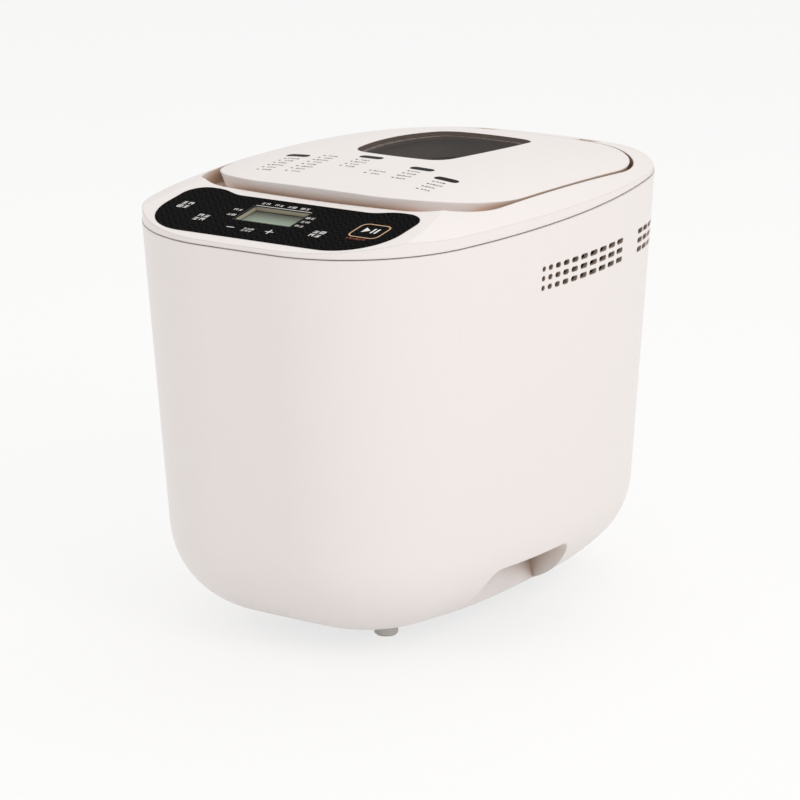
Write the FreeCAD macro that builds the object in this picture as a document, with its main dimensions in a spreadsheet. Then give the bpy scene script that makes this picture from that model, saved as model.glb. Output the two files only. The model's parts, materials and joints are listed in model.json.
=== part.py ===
"""A compact bread machine: tapered white tub, crowned lid with a window, sloping key panel,
and inside it the oven, the bread pan with its kneading paddle, and the belt drive.

Millimetres. X is the machine's right, the key panel faces -Y, Z is up. The origin is on the
floor, under the middle of the tub.
"""
import FreeCAD, Part
import math
import os
import re

import Sketcher

V = FreeCAD.Vector
doc = FreeCAD.newDocument("bread_machine")

# Driving dimensions: name, size
SIZES = [
    # Tub
    ("body_width", 225), ("body_depth", 301), ("side_bow", 366), ("end_bow", 1450),
    ("body_corner", 80), ("wall", 2.6), ("body_floor", 11),
    ("parting_height", 228.9), ("parting_angle", 1.95), ("seam_gap", 0.5),
    ("side_draft", 3.75), ("bottom_round", 50),
    # Hand notches in the tub's lower sides
    ("notch_middle", -18), ("notch_width", 68), ("notch_flare", 15), ("notch_top", 42.5),
    ("notch_radius", 9), ("notch_reach", 68),
    # Vent slots
    ("vent_top", 205), ("vent_row_pitch", 5.2), ("vent_height", 2.8), ("vent_gap", 2.6),
    ("vent_start", -30.6), ("vent_first", 2.9), ("vent_full", 8), ("rear_vent_angle", 9),
    # Bottom cover and feet
    ("cover_width", 86), ("cover_depth", 152), ("cover_corner", 30), ("cover_thickness", 2),
    ("opening_margin", 11), ("foot_diameter", 13), ("foot_spread_x", 64), ("foot_spread_y", 130),
    ("boss_diameter", 8), ("boss_height", 12), ("boss_spread_x", 75), ("boss_spread_y", 96),
    # Screws
    ("screw_diameter", 3), ("screw_head", 6), ("screw_head_height", 1.6), ("screw_length", 9),
    ("thread_clearance", 0.05),
    # Top deck
    ("skirt_inset", 0.6), ("deck_wall", 2.6), ("tongue_depth", 6), ("tongue_wall", 1.8), ("fit_gap", 0.35),
    ("crown_height", 250.7), ("crown_middle", 10), ("crown_radius", 1300), ("shoulder_start", 45),
    ("shoulder_radius", 180), ("long_radius", 760), ("ledge_height", 231),
    ("deck_boss_x", 88), ("deck_boss_front", -20), ("deck_boss_rear", 80), ("deck_boss_drop", 20),
    # Key panel
    ("panel_middle", -115), ("panel_height", 233.45), ("panel_angle", 10.8),
    ("film_width", 151.6), ("film_rear", 24.3), ("film_ear", 29.3), ("film_front", 27.4),
    ("film_straight", 44), ("ear_start", 56), ("film_thickness", 0.5), ("film_recess", 0.3),
    ("film_gap", 0.15), ("ear_radius", 12), ("film_front_radius", 32), ("film_bend_radius", 22),
    ("lcd_x", -6), ("lcd_y", 4.3), ("lcd_width", 36), ("lcd_length", 19.4), ("lcd_border", 3),
    ("key_diameter", 8), ("key_flange", 12), ("key_gap", 0.3), ("key_travel", 0.3),
    ("board_drop", 9.6), ("board_width", 132), ("board_length", 42), ("board_y", 2),
    ("board_thickness", 1.6),
    ("board_post_x", 52), ("board_post_y", 17), ("board_post", 6), ("switch_size", 6),
    ("switch_height", 2.7),
    # Lid
    ("lid_width", 192), ("lid_front", 81.5), ("lid_rear", 128), ("lid_corner", 61), ("lid_side_bow", 900),
    ("lid_end_bow", 900), ("lid_bottom", 231.6), ("lid_edge_height", 243), ("lid_draft", 4),
    ("lid_gap", 0.8), ("lid_wall", 2.4), ("finger_gap", 3.5), ("recess_corner", 40),
    ("liner_thickness", 1.8), ("lid_post_x", 66), ("lid_post_front", -28), ("lid_post_rear", 84),
    # Lid window
    ("window_width", 70), ("window_length", 99), ("window_middle", 40.5), ("window_side_bow", 190),
    ("window_end_bow", 160), ("window_corner", 14), ("window_gap", 0.25), ("gasket_thickness", 1.6),
    ("gasket_lap", 4),
    # Lid hinge
    ("hinge_y", 133), ("hinge_z", 234), ("hinge_x", 34), ("pin_diameter", 4), ("pin_clearance", 0.1),
    ("knuckle_diameter", 10), ("arm_width", 12), ("arm_gap", 0.5), ("hinge_block", 26),
    ("swing_relief", 2.1),
    # Oven
    ("oven_y", 30), ("oven_width", 140), ("oven_length", 156), ("oven_corner", 24), ("oven_floor", 80),
    ("sheet", 0.8), ("oven_flange", 7), ("mouth_margin", 2), ("oven_leg", 12),
    # Heating element
    ("element_diameter", 6.5), ("element_height", 92), ("element_wall_gap", 6.5), ("element_bend", 22),
    ("terminal_x", 14), ("terminal_bend", 9), ("terminal_reach", 8), ("clamp_width", 8),
    ("sensor_diameter", 5), ("sensor_height", 112), ("fuse_diameter", 6), ("fuse_length", 22),
    # Bread pan
    ("pan_bottom", 100), ("pan_rim", 190), ("pan_top_width", 112), ("pan_top_length", 128),
    ("pan_foot_width", 100), ("pan_foot_length", 116), ("pan_corner", 22), ("pan_wall", 1.2),
    ("pan_flange", 3.5), ("pan_flange_thickness", 2), ("base_ring_diameter", 88), ("base_ring_wall", 3),
    ("seat_wall", 3.4), ("seat_height", 12), ("seat_gap", 0.4),
    ("lug_drop", 12), ("lug_size", 16), ("lug_thickness", 3), ("handle_wire", 4.4), ("handle_length", 70),
    ("handle_rest_angle", 13), ("handle_bend", 18), ("handle_gap", 2),
    # Drive line, from the pan down to the pulley
    ("shaft_diameter", 8), ("running_clearance", 0.05), ("coupling_diameter", 28), ("lug_reach", 6),
    ("dog_height", 4), ("dog_width", 7), ("dog_gap", 0.5), ("drive_coupling_height", 5.5), ("pan_disc", 3),
    ("clip_thickness", 0.8), ("clip_diameter", 14), ("bearing_diameter", 16), ("bearing_flange", 26),
    ("bearing_height", 12), ("seal_height", 2.5), ("seal_diameter", 15), ("shaft_top", 134),
    ("drive_bearing_diameter", 22), ("drive_bearing_flange", 44), ("drive_bearing_rise", 4),
    # Paddle
    ("paddle_hub", 20), ("paddle_hub_top", 15), ("paddle_base", 115.5), ("paddle_height", 24),
    ("paddle_reach", 42), ("paddle_thickness", 6), ("paddle_fin_height", 18), ("paddle_tip", 5),
    # Chassis, belt drive and motor
    ("chassis_height", 64), ("chassis_thickness", 2), ("chassis_width", 112), ("chassis_front", 124),
    ("chassis_rear", 116), ("chassis_corner", 22), ("post_x", 27), ("post_front", -118), ("post_rear", 104),
    ("post_diameter", 10), ("pulley_diameter", 104), ("pulley_height", 10), ("pulley_base", 42),
    ("pulley_web", 4), ("pulley_hub", 22), ("motor_y", -90), ("motor_pulley_diameter", 20),
    ("belt_width", 6), ("belt_thickness", 2), ("belt_gap", 0.3), ("motor_diameter", 64),
    ("motor_height", 56),
    ("motor_shaft_diameter", 6), ("motor_flange", 88), ("motor_flange_thickness", 2.5), ("mount_height", 4),
    ("mount_diameter", 12), ("mount_spread", 72), ("motor_hole", 26), ("capacitor_width", 16),
    ("capacitor_length", 34), ("capacitor_height", 12),
    # Electrics
    ("power_board_width", 2), ("power_board_length", 62), ("power_board_height", 48),
    ("power_board_gap", 12),
    ("power_board_base", 96), ("power_board_y", 20), ("gland_diameter", 14), ("gland_x", 20),
    ("gland_z", 68),
    ("gland_length", 14), ("gland_flange", 3),
]

dims = doc.addObject("Spreadsheet::Sheet", "dims")
for row, (alias, size) in enumerate(SIZES, start=1):
    dims.set(f"A{row}", alias)
    dims.set(f"B{row}", str(size))
    dims.setAlias(f"B{row}", alias)
doc.recompute()

ALIASES = {alias for alias, size in SIZES}
WORD = re.compile(r"[a-z][a-z_]*")


def formula(text):
    """Point every dimension named in a formula at its cell."""
    return WORD.sub(lambda word: f"dims.{word[0]}" if word[0] in ALIASES else word[0], str(text))


def value(text):
    """Work a formula out to a number."""
    return float(dims.evalExpression(formula(text)))


def bind(thing, **properties):
    for name, text in properties.items():
        thing.setExpression(name, formula(text))


def place(thing, x="0", y="0", z="0", axis=None, angle="0"):
    """Bind where a thing stands, and how far it is turned about one axis."""
    if axis is not None:
        thing.Placement = FreeCAD.Placement(V(0, 0, 0), FreeCAD.Rotation(axis, value(angle) or 1.0))
        thing.setExpression("Placement.Rotation.Angle", formula(angle))
    for letter, text in (("x", x), ("y", y), ("z", z)):
        thing.setExpression(f"Placement.Base.{letter}", formula(text))
    return thing


X_AXIS = V(1, 0, 0)
Y_AXIS = V(0, 1, 0)
Z_AXIS = V(0, 0, 1)


# Solids and the ways they are joined
def box(name, length, width, height, x, y, z):
    """A block centred on x and y, standing on z."""
    block = doc.addObject("Part::Box", name)
    bind(block, Length=length, Width=width, Height=height)
    return place(block, f"{x} - ({length}) / 2", f"{y} - ({width}) / 2", z)


def cylinder(name, diameter, height, x="0", y="0", z="0", axis=None, angle="90"):
    rod = doc.addObject("Part::Cylinder", name)
    bind(rod, Radius=f"({diameter}) / 2", Height=height)
    return place(rod, x, y, z, axis, angle)


def cut(name, base, *tools):
    tool = tools[0] if len(tools) == 1 else fuse(f"{name}_tools", *tools)
    result = doc.addObject("Part::Cut", name)
    result.Base = base
    result.Tool = tool
    return result


def fuse(name, *shapes):
    result = doc.addObject("Part::MultiFuse", name)
    result.Shapes = list(shapes)
    return result


def common(name, *shapes):
    result = doc.addObject("Part::MultiCommon", name)
    result.Shapes = list(shapes)
    return result


def mirrored(name, source):
    """The same thing on the machine's left."""
    copy = doc.addObject("Part::Mirroring", name)
    copy.Source = source
    copy.Normal = X_AXIS
    return copy


def group(name, members):
    """Separate solids that share one name."""
    result = doc.addObject("Part::Compound", name)
    result.Links = list(members)
    return result


def extrude(name, sketch, height, direction=Z_AXIS):
    prism = doc.addObject("Part::Extrusion", name)
    prism.Base = sketch
    prism.DirMode = "Custom"
    prism.Dir = direction
    prism.Solid = True
    bind(prism, LengthFwd=height)
    return prism


def loft(name, sections, ruled=False):
    skin = doc.addObject("Part::Loft", name)
    skin.Sections = sections
    skin.Solid = True
    skin.Ruled = ruled
    return skin


# Sketches
PENDING = []


def tie(kind, *points):
    """Note a geometric constraint for the sketch being drawn."""
    PENDING.append((Sketcher.Constraint(kind, *points), None, None))


def hold(kind, points, size):
    """Note a dimension for the sketch being drawn, bound to a formula."""
    PENDING.append((Sketcher.Constraint(kind, *points, value(size)), f"{kind.lower()}_{len(PENDING)}",
                    size))


def pin_point(geometry, point, x, y):
    """Fix one point of the sketch at x, y."""
    hold("DistanceX", (-1, 1, geometry, point), x)
    hold("DistanceY", (-1, 1, geometry, point), y)


def settle(sketch):
    """Give the sketch all that was noted for it."""
    indices = sketch.addConstraint([constraint for constraint, label, size in PENDING])
    for index, (constraint, label, size) in zip(indices, PENDING):
        if label:
            sketch.renameConstraint(index, label)
            sketch.setExpression(f"Constraints.{label}", formula(size))
    PENDING.clear()
    return sketch


def new_sketch(name, owner=None, plane="XY_Plane"):
    if owner is None:
        return doc.addObject("Sketcher::SketchObject", name)
    sketch = owner.newObject("Sketcher::SketchObject", name)
    origin = next(part for part in owner.Origin.OriginFeatures if part.Role == plane)
    sketch.AttachmentSupport = (origin, [""])
    sketch.MapMode = "FlatFace"
    return sketch


def draw_polygon(sketch, corners):
    """A closed outline of straight edges through the given corners."""
    points = [V(value(x), value(y), 0) for x, y in corners]
    for start, end in zip(points, points[1:] + points[:1]):
        sketch.addGeometry(Part.LineSegment(start, end))
    for edge, (x, y) in enumerate(corners):
        tie("Coincident", edge, 2, (edge + 1) % len(points), 1)
        pin_point(edge, 1, x, y)
    return settle(sketch)


def draw_tangent_arcs(sketch, arcs):
    """A closed outline of arcs, each given as centre, radius, start angle and end angle."""
    for centre, radius, start, end in arcs:
        sketch.addGeometry(Part.ArcOfCircle(Part.Circle(centre, Z_AXIS, radius), start, end))
    for arc in range(len(arcs)):
        tie("Tangent", arc, 2, (arc + 1) % len(arcs), 1)


def corner_centre(half_width, half_depth, side_radius, end_radius, corner):
    """Centre of the corner arc that rolls between a bowed side and a bowed end."""
    side = V(half_width - side_radius, 0, 0)
    end = V(0, half_depth - end_radius, 0)
    from_side = side_radius - corner
    from_end = end_radius - corner
    span = end - side
    along = (from_side ** 2 - from_end ** 2 + span.Length ** 2) / (2 * span.Length)
    across = math.sqrt(from_side ** 2 - along ** 2)
    unit = span / span.Length
    normal = V(unit.y, -unit.x, 0)
    options = [side + unit * along + normal * sign * across for sign in (1, -1)]
    return side, end, max(options, key=lambda point: point.x + point.y)


def oval(name, half_width, half_depth, side_radius, end_radius, corner, y="0", z="0", rear_corner=None,
         owner=None):
    """A rounded outline with four bowed sides, laid flat at height z around the point 0, y.

    The front corners take corner as their radius, the rear ones rear_corner if it is given.
    """
    rear_corner = rear_corner or corner
    sizes = [value(text) for text in (half_width, half_depth, side_radius, end_radius)]
    side, end, rear = corner_centre(*sizes, value(rear_corner))
    front = corner_centre(*sizes, value(corner))[2]
    rear_low = math.atan2(rear.y - side.y, rear.x - side.x)
    rear_high = math.atan2(rear.y - end.y, rear.x - end.x)
    front_low = math.atan2(front.y - side.y, front.x - side.x)
    front_high = math.atan2(front.y - end.y, front.x - end.x)
    turn = math.pi
    side_size, end_size = sizes[2], sizes[3]
    front_radius, rear_radius = value(corner), value(rear_corner)
    sketch = new_sketch(name, owner)
    draw_tangent_arcs(sketch, [
        (side, side_size, -front_low, rear_low),
        (rear, rear_radius, rear_low, rear_high),
        (end, end_size, rear_high, turn - rear_high),
        (V(-rear.x, rear.y, 0), rear_radius, turn - rear_high, turn - rear_low),
        (-side, side_size, turn - rear_low, turn + front_low),
        (V(-front.x, -front.y, 0), front_radius, turn + front_low, turn + front_high),
        (-end, end_size, turn + front_high, 2 * turn - front_high),
        (V(front.x, -front.y, 0), front_radius, 2 * turn - front_high, 2 * turn - front_low),
    ])
    right, rear_right, back, rear_left, left, front_left, face, front_right = range(8)
    for arc, radius in ((right, side_radius), (left, side_radius), (back, end_radius), (face, end_radius),
                        (rear_right, rear_corner), (rear_left, rear_corner), (front_left, corner),
                        (front_right, corner)):
        hold("Radius", (arc,), radius)
    centre = 3
    pin_point(right, centre, f"{half_width} - {side_radius}", "0")
    pin_point(left, centre, f"{side_radius} - ({half_width})", "0")
    pin_point(back, centre, "0", f"{half_depth} - {end_radius}")
    pin_point(face, centre, "0", f"{end_radius} - ({half_depth})")
    settle(sketch)
    if owner is None:
        return place(sketch, "0", y, z)
    sketch.setExpression("AttachmentOffset.Base.z", formula(z))
    return sketch


def draw_rounded_path(sketch, corners, radii, closed):
    """Straight runs along X and Y joined by tangent arcs; corners are (x, y) formulas."""
    points = [V(value(x), value(y), 0) for x, y in corners]
    count = len(points)
    bends = {}
    for index in range(count):
        if not closed and index in (0, count - 1):
            continue
        corner = points[index]
        back = (points[index - 1] - corner).normalize() * value(radii[index])
        ahead = (points[(index + 1) % count] - corner).normalize() * value(radii[index])
        bends[index] = (corner + back, corner + back + ahead, corner + ahead)
    lines = []
    for index in range(count if closed else count - 1):
        follower = (index + 1) % count
        start = bends[index][2] if index in bends else points[index]
        finish = bends[follower][0] if follower in bends else points[follower]
        line = sketch.addGeometry(Part.LineSegment(start, finish))
        lines.append(line)
        level = abs(start.y - finish.y) < abs(start.x - finish.x)
        across, along = ("DistanceY", "DistanceX") if level else ("DistanceX", "DistanceY")
        across_axis, along_axis = (1, 0) if level else (0, 1)
        tie("Horizontal" if level else "Vertical", line)
        hold(across, (-1, 1, line, 1), corners[index][across_axis])
        if index == 0 and not closed:
            hold(along, (-1, 1, line, 1), corners[0][along_axis])
        if follower == count - 1 and not closed:
            hold(along, (-1, 1, line, 2), corners[-1][along_axis])
    for index, (arrive, centre, leave) in bends.items():
        left_turn = (arrive - centre).cross(leave - centre).z > 0
        first, last = (arrive, leave) if left_turn else (leave, arrive)
        low = math.atan2(first.y - centre.y, first.x - centre.x)
        high = math.atan2(last.y - centre.y, last.x - centre.x)
        if high < low:
            high += 2 * math.pi
        arc = sketch.addGeometry(Part.ArcOfCircle(Part.Circle(centre, Z_AXIS, value(radii[index])), low,
                                                  high))
        enter, exit_point = (1, 2) if left_turn else (2, 1)
        tie("Tangent", lines[index - 1], 2, arc, enter)
        tie("Tangent", arc, exit_point, lines[index], 1)
        hold("Radius", (arc,), radii[index])
    return settle(sketch)


def rounded_rectangle(name, half_x, half_y, radius, y="0", z="0"):
    corners = [(f"-({half_x})", f"-({half_y})"), (half_x, f"-({half_y})"), (half_x, half_y),
               (f"-({half_x})", half_y)]
    sketch = draw_rounded_path(new_sketch(name), corners, [radius] * 4, closed=True)
    return place(sketch, "0", y, z)


def round_section(name, radius):
    """A circle, to be swept along a path."""
    sketch = new_sketch(name)
    sketch.addGeometry(Part.Circle(V(0, 0, 0), Z_AXIS, value(radius)))
    tie("Coincident", 0, 3, -1, 1)
    hold("Radius", (0,), radius)
    return settle(sketch)


def plate(name, half_x, half_y, radius, thickness, y="0", z="0"):
    """A flat plate with rounded corners, standing on z."""
    return extrude(name, rounded_rectangle(f"{name}_outline", half_x, half_y, radius, y, z), thickness)


# Bodies
def turned(name, profile, x="0", y="0", z="0", axis=None, angle="90"):
    """A piece turned about its own Z from a closed profile of (radius, height) corners."""
    body = doc.addObject("PartDesign::Body", name)
    sketch = draw_polygon(new_sketch(f"{name}_profile", body, "XZ_Plane"), profile)
    spin = body.newObject("PartDesign::Revolution", f"{name}_turn")
    spin.Profile = sketch
    spin.ReferenceAxis = (sketch, ["V_Axis"])
    spin.Angle = 360
    return place(body, x, y, z, axis, angle)


def padded(name, corners, height, plane="XY_Plane", rounds=(), reverse=False):
    """A body padded from a straight-edged outline, with some upright edges rounded.

    rounds lists (radius, corners): every upright edge at one of those corners gets that radius.
    """
    body = doc.addObject("PartDesign::Body", name)
    sketch = draw_polygon(new_sketch(f"{name}_outline", body, plane), corners)
    pad = body.newObject("PartDesign::Pad", f"{name}_pad")
    pad.Profile = sketch
    pad.Reversed = reverse
    bind(pad, Length=height)
    feature = pad
    for step, (radius, spots) in enumerate(rounds):
        doc.recompute()
        wanted = [(value(x), value(y)) for x, y in spots]
        flat = sketch.Placement.inverse()
        names = []
        for number, edge in enumerate(feature.Shape.Edges, start=1):
            ends = [flat.multVec(vertex.Point) for vertex in edge.Vertexes]
            if len(ends) != 2 or math.hypot(ends[0].x - ends[1].x, ends[0].y - ends[1].y) > 1e-6:
                continue
            if any(math.hypot(ends[0].x - x, ends[0].y - y) < 1e-4 for x, y in wanted):
                names.append(f"Edge{number}")
        rounding = body.newObject("PartDesign::Fillet", f"{name}_round_{step}")
        rounding.Base = (feature, names)
        bind(rounding, Radius=radius)
        feature = rounding
    body.Tip = feature
    return body


def ring(name, outer, inner, height, x="0", y="0", z="0"):
    """A plain ring standing on z; outer and inner are diameters."""
    profile = [(f"({inner}) / 2", "0"), (f"({outer}) / 2", "0"), (f"({outer}) / 2", height),
               (f"({inner}) / 2", height)]
    return turned(name, profile, x, y, z)


def screw(name, length, x, y, z, head_up=True):
    """A countersunk screw whose head face is at z; it points down, or up if head_up is false."""
    profile = [("0", "0"), ("screw_head / 2", "0"), ("screw_diameter / 2", "-screw_head_height"),
               ("screw_diameter / 2", f"-({length})"), ("0", f"-({length})")]
    if head_up:
        return turned(name, profile, x, y, z)
    return turned(name, profile, x, y, z, X_AXIS, "180")


def screw_hole(name, length, x, y, z, head_up=True):
    """The room that such a screw needs."""
    profile = [("0", "1"), ("screw_head / 2 + thread_clearance", "1"),
               ("screw_head / 2 + thread_clearance", "0"),
               ("screw_diameter / 2 + thread_clearance", "-screw_head_height"),
               ("screw_diameter / 2 + thread_clearance", f"-({length}) - thread_clearance"),
               ("0", f"-({length}) - thread_clearance")]
    if head_up:
        return turned(name, profile, x, y, z)
    return turned(name, profile, x, y, z, X_AXIS, "180")


SPOTS = {}
NODES = {}


def node(name, thing):
    """Name a finished piece."""
    thing.Label = name
    NODES[name] = thing
    return thing


# Tub
HALF_WIDTH = "body_width / 2"
HALF_DEPTH = "body_depth / 2"
LOFT_TOP = "(parting_height + 12)"
FAR = "400"


def tub_body(name, skin):
    """The tub as a solid, its surface lying the thickness skin inside the outer face.

    A straight prism on the top outline, drafted so that it narrows downwards, with a big round at its foot.
    """
    body = doc.addObject("PartDesign::Body", name)
    grow = f"({LOFT_TOP} - parting_height) * tan(side_draft) - ({skin}) / cos(side_draft)"
    outline = oval(f"{name}_outline", f"{HALF_WIDTH} + {grow}", f"{HALF_DEPTH} + {grow}", "side_bow",
                   "end_bow",
                   f"(body_corner + {grow})", "0", LOFT_TOP, None, body)
    prism = body.newObject("PartDesign::Pad", f"{name}_prism")
    prism.Profile = outline
    prism.Reversed = True
    bind(prism, Length=f"{LOFT_TOP} - body_floor - ({skin})")
    doc.recompute()
    flat = "Part::GeomPlane"
    faces = list(enumerate(prism.Shape.Faces, start=1))
    walls = [f"Face{number}" for number, face in faces if face.Surface.TypeId != flat]
    lid = max((face.CenterOfMass.z, number) for number, face in faces if face.Surface.TypeId == flat)[1]
    lean = body.newObject("PartDesign::Draft", f"{name}_draft")
    lean.Base = (prism, walls)
    lean.NeutralPlane = (prism, [f"Face{lid}"])
    lean.Reversed = True
    bind(lean, Angle="side_draft")
    doc.recompute()
    foot = [f"Edge{number}" for number, edge in enumerate(lean.Shape.Edges, start=1)
            if all(abs(vertex.Z - value(f"body_floor + ({skin})")) < 0.01 for vertex in edge.Vertexes)]
    rounding = body.newObject("PartDesign::Fillet", f"{name}_round")
    rounding.Base = (lean, foot)
    bind(rounding, Radius=f"bottom_round - ({skin})")
    body.Tip = rounding
    return body


def tilted_block(name, lift, above):
    """A big block with one face on the sloping parting plane, raised by lift."""
    block = doc.addObject("Part::Box", name)
    bind(block, Length=f"2 * {FAR}", Width=f"2 * {FAR}", Height=FAR)
    drop = "0" if above else FAR
    return place(block, f"-{FAR}", f"-{FAR} * cos(parting_angle) + {drop} * sin(parting_angle)",
                 f"parting_height + ({lift}) - {FAR} * sin(parting_angle) - {drop} * cos(parting_angle)",
                 X_AXIS, "parting_angle")


def notch_block(name, grow):
    """The room of a hand notch on the right, grown by the thickness of its wall."""
    half = f"(notch_width / 2 + ({grow}))"
    foot = f"(notch_width / 2 + notch_flare + ({grow}))"
    top = f"(notch_top + ({grow}))"
    corners = [(f"notch_middle - {foot}", "-1"), (f"notch_middle + {foot}", "-1"),
               (f"notch_middle + {half}", top), (f"notch_middle - {half}", top)]
    reach = f"{HALF_WIDTH} + 20 - notch_reach + ({grow})"
    body = padded(name, corners, reach, "YZ_Plane", [(f"notch_radius + ({grow})", corners[2:])])
    return place(body, f"notch_reach - ({grow})")


def slot(name, length):
    """One vent slot, drawn across the origin and pointing along X."""
    half = f"(({length}) - vent_height) / 2"
    end = "vent_height / 2"
    sketch = new_sketch(name)
    reach, radius = value(half), value(end)
    sketch.addGeometry(Part.LineSegment(V(-reach, -radius, 0), V(reach, -radius, 0)))
    sketch.addGeometry(Part.ArcOfCircle(Part.Circle(V(reach, 0, 0), Z_AXIS, radius), -math.pi / 2,
                                        math.pi / 2))
    sketch.addGeometry(Part.LineSegment(V(reach, radius, 0), V(-reach, radius, 0)))
    sketch.addGeometry(Part.ArcOfCircle(Part.Circle(V(-reach, 0, 0), Z_AXIS, radius), math.pi / 2,
                                        1.5 * math.pi))
    for edge in range(4):
        tie("Tangent", edge, 2, (edge + 1) % 4, 1)
    hold("Radius", (1,), end)
    pin_point(1, 3, half, "0")
    pin_point(3, 3, f"-({half})", "0")
    return settle(sketch)


VENT_COLUMNS = 10
VENT_GROWING = 6
VENT_ROWS = 3
REAR_COLUMNS = 5
UPRIGHT = FreeCAD.Rotation(V(0, 1, 0), V(0, 0, 1), V(1, 0, 0), "ZXY")


def vent_lengths():
    """Slot lengths along the side: they grow to the full length, then stay."""
    lengths = []
    for column in range(VENT_COLUMNS):
        share = min(column / VENT_GROWING, 1)
        lengths.append(f"(vent_first + (vent_full - vent_first) * {share:.4f})")
    return lengths


def side_vents():
    """The slots through the tub's right wall, on the side and round the rear corner."""
    cutters = []
    edge = "vent_start"
    depth = "28"
    for column, length in enumerate(vent_lengths()):
        middle = f"{edge} + {length} / 2"
        edge = f"{edge} + {length} + vent_gap"
        outline = slot(f"vent_{column}", length)
        for row in range(VENT_ROWS):
            height = f"vent_top - {row} * vent_row_pitch"
            cutters.append(slot_cutter(f"vent_{column}_{row}", outline, f"{HALF_WIDTH} - {depth} / 2",
                                       middle,
                                       height, 0, depth))
    rear = "(body_corner - 16)"
    outline = slot("rear_vent", "vent_full")
    corner_x = f"({HALF_WIDTH} - body_corner)"
    corner_y = f"({HALF_DEPTH} - body_corner)"
    for column in range(REAR_COLUMNS):
        turn = value(f"rear_vent_angle + {column} * (vent_full + vent_gap) / body_corner * 180 / pi")
        start_x = f"{corner_x} + {rear} * cos({turn:.5f})"
        start_y = f"{corner_y} + {rear} * sin({turn:.5f})"
        for row in range(VENT_ROWS):
            height = f"vent_top - {row} * vent_row_pitch"
            cutters.append(slot_cutter(f"rear_vent_{column}_{row}", outline, start_x, start_y, height, turn,
                                       "36"))
    return cutters


def slot_cutter(name, outline, x, y, z, turn, depth):
    """A slot-shaped tool that starts at x, y, z and runs outwards, turned about Z."""
    tool = doc.addObject("Part::Extrusion", name)
    tool.Base = outline
    tool.DirMode = "Normal"
    tool.Solid = True
    bind(tool, LengthFwd=depth)
    tool.Placement = FreeCAD.Placement(V(0, 0, 0), FreeCAD.Rotation(Z_AXIS, turn).multiply(UPRIGHT))
    for letter, text in (("x", x), ("y", y), ("z", z)):
        tool.setExpression(f"Placement.Base.{letter}", formula(text))
    return tool


def cover_outline(name, margin, z):
    return rounded_rectangle(name, f"cover_width / 2 - ({margin})", f"cover_depth / 2 - ({margin})",
                             f"cover_corner - ({margin})", "0", z)


def four_spots(x, front, rear):
    """Four places, mirrored left and right: (tag, x, y)."""
    return [(f"{end}_{side}", f"{sign}({x})", y) for end, y in (("front", front), ("rear", rear))
            for side, sign in (("right", ""), ("left", "-"))]


BASE_BOSSES = four_spots("boss_spread_x / 2", "-boss_spread_y / 2", "boss_spread_y / 2")
CHASSIS_POSTS = four_spots("post_x", "post_front", "post_rear")
DECK_BOSSES = four_spots("deck_boss_x", "deck_boss_front", "deck_boss_rear")
DECK_BOSS_TOP = "(ledge_height - deck_wall)"
DECK_SCREW = "(screw_length + deck_wall)"
COVER_SCREW = "(screw_length + cover_thickness + wall)"


def outer_housing():
    outside = tub_body("tub_outside", "0")
    inside = tub_body("tub_inside", "wall")
    keep = [notch_block("notch_wall", "wall")]
    keep.append(mirrored("notch_wall_left", keep[0]))
    for tag, x, y in BASE_BOSSES:
        keep.append(cylinder(f"base_boss_{tag}", "boss_diameter", "wall + boss_height", x, y, "body_floor"))
    for tag, x, y in CHASSIS_POSTS:
        keep.append(cylinder(f"chassis_post_{tag}", "post_diameter", "chassis_height - body_floor", x, y,
                             "body_floor"))
    for tag, x, y in DECK_BOSSES:
        base = f"({DECK_BOSS_TOP} - deck_boss_drop)"
        keep.append(cylinder(f"deck_boss_{tag}", "boss_diameter + 2", "deck_boss_drop", x, y, base))
        rib = f"({HALF_WIDTH} - deck_boss_x)"
        sign = "-" if x.startswith("-") else ""
        keep.append(box(f"deck_rib_{tag}", rib, "wall", "deck_boss_drop - tongue_depth - 6",
                        f"{sign}(deck_boss_x + {rib} / 2)", y, base))
    hollow = cut("tub_hollow", inside, *keep)
    notch = notch_block("notch_room", "0")
    tools = [notch, mirrored("notch_room_left", notch), tilted_block("tub_top", "0", True)]
    tools.append(extrude("cover_opening",
                         cover_outline("cover_opening_outline", "opening_margin", "body_floor - 5"),
                         "wall + 6"))
    for tag, x, y in BASE_BOSSES:
        tools.append(screw_hole(f"base_screw_room_{tag}", COVER_SCREW, x, y, "body_floor - cover_thickness",
                                False))
    for tag, x, y in DECK_BOSSES:
        tools.append(screw_hole(f"deck_boss_room_{tag}", DECK_SCREW, x, y, "ledge_height"))
    for tag, x, y in CHASSIS_POSTS:
        tools.append(screw_hole(f"post_room_{tag}", "screw_length + chassis_thickness", x, y,
                                "chassis_height + chassis_thickness"))
    tools.append(gland_room())
    shell = cut("tub_trimmed", cut("tub_shell", outside, hollow), *tools)
    vents = group("vents_right", side_vents())
    return node("outer_housing",
                cut("outer_housing", shell, group("vents", [vents, mirrored("vents_left", vents)])))


def gland_room():
    """The hole that the cord gland plugs, through the tub's rear wall."""
    return cylinder("gland_room", "gland_diameter", "80", "gland_x", f"{HALF_DEPTH} + 20", "gland_z",
                    X_AXIS)


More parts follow.
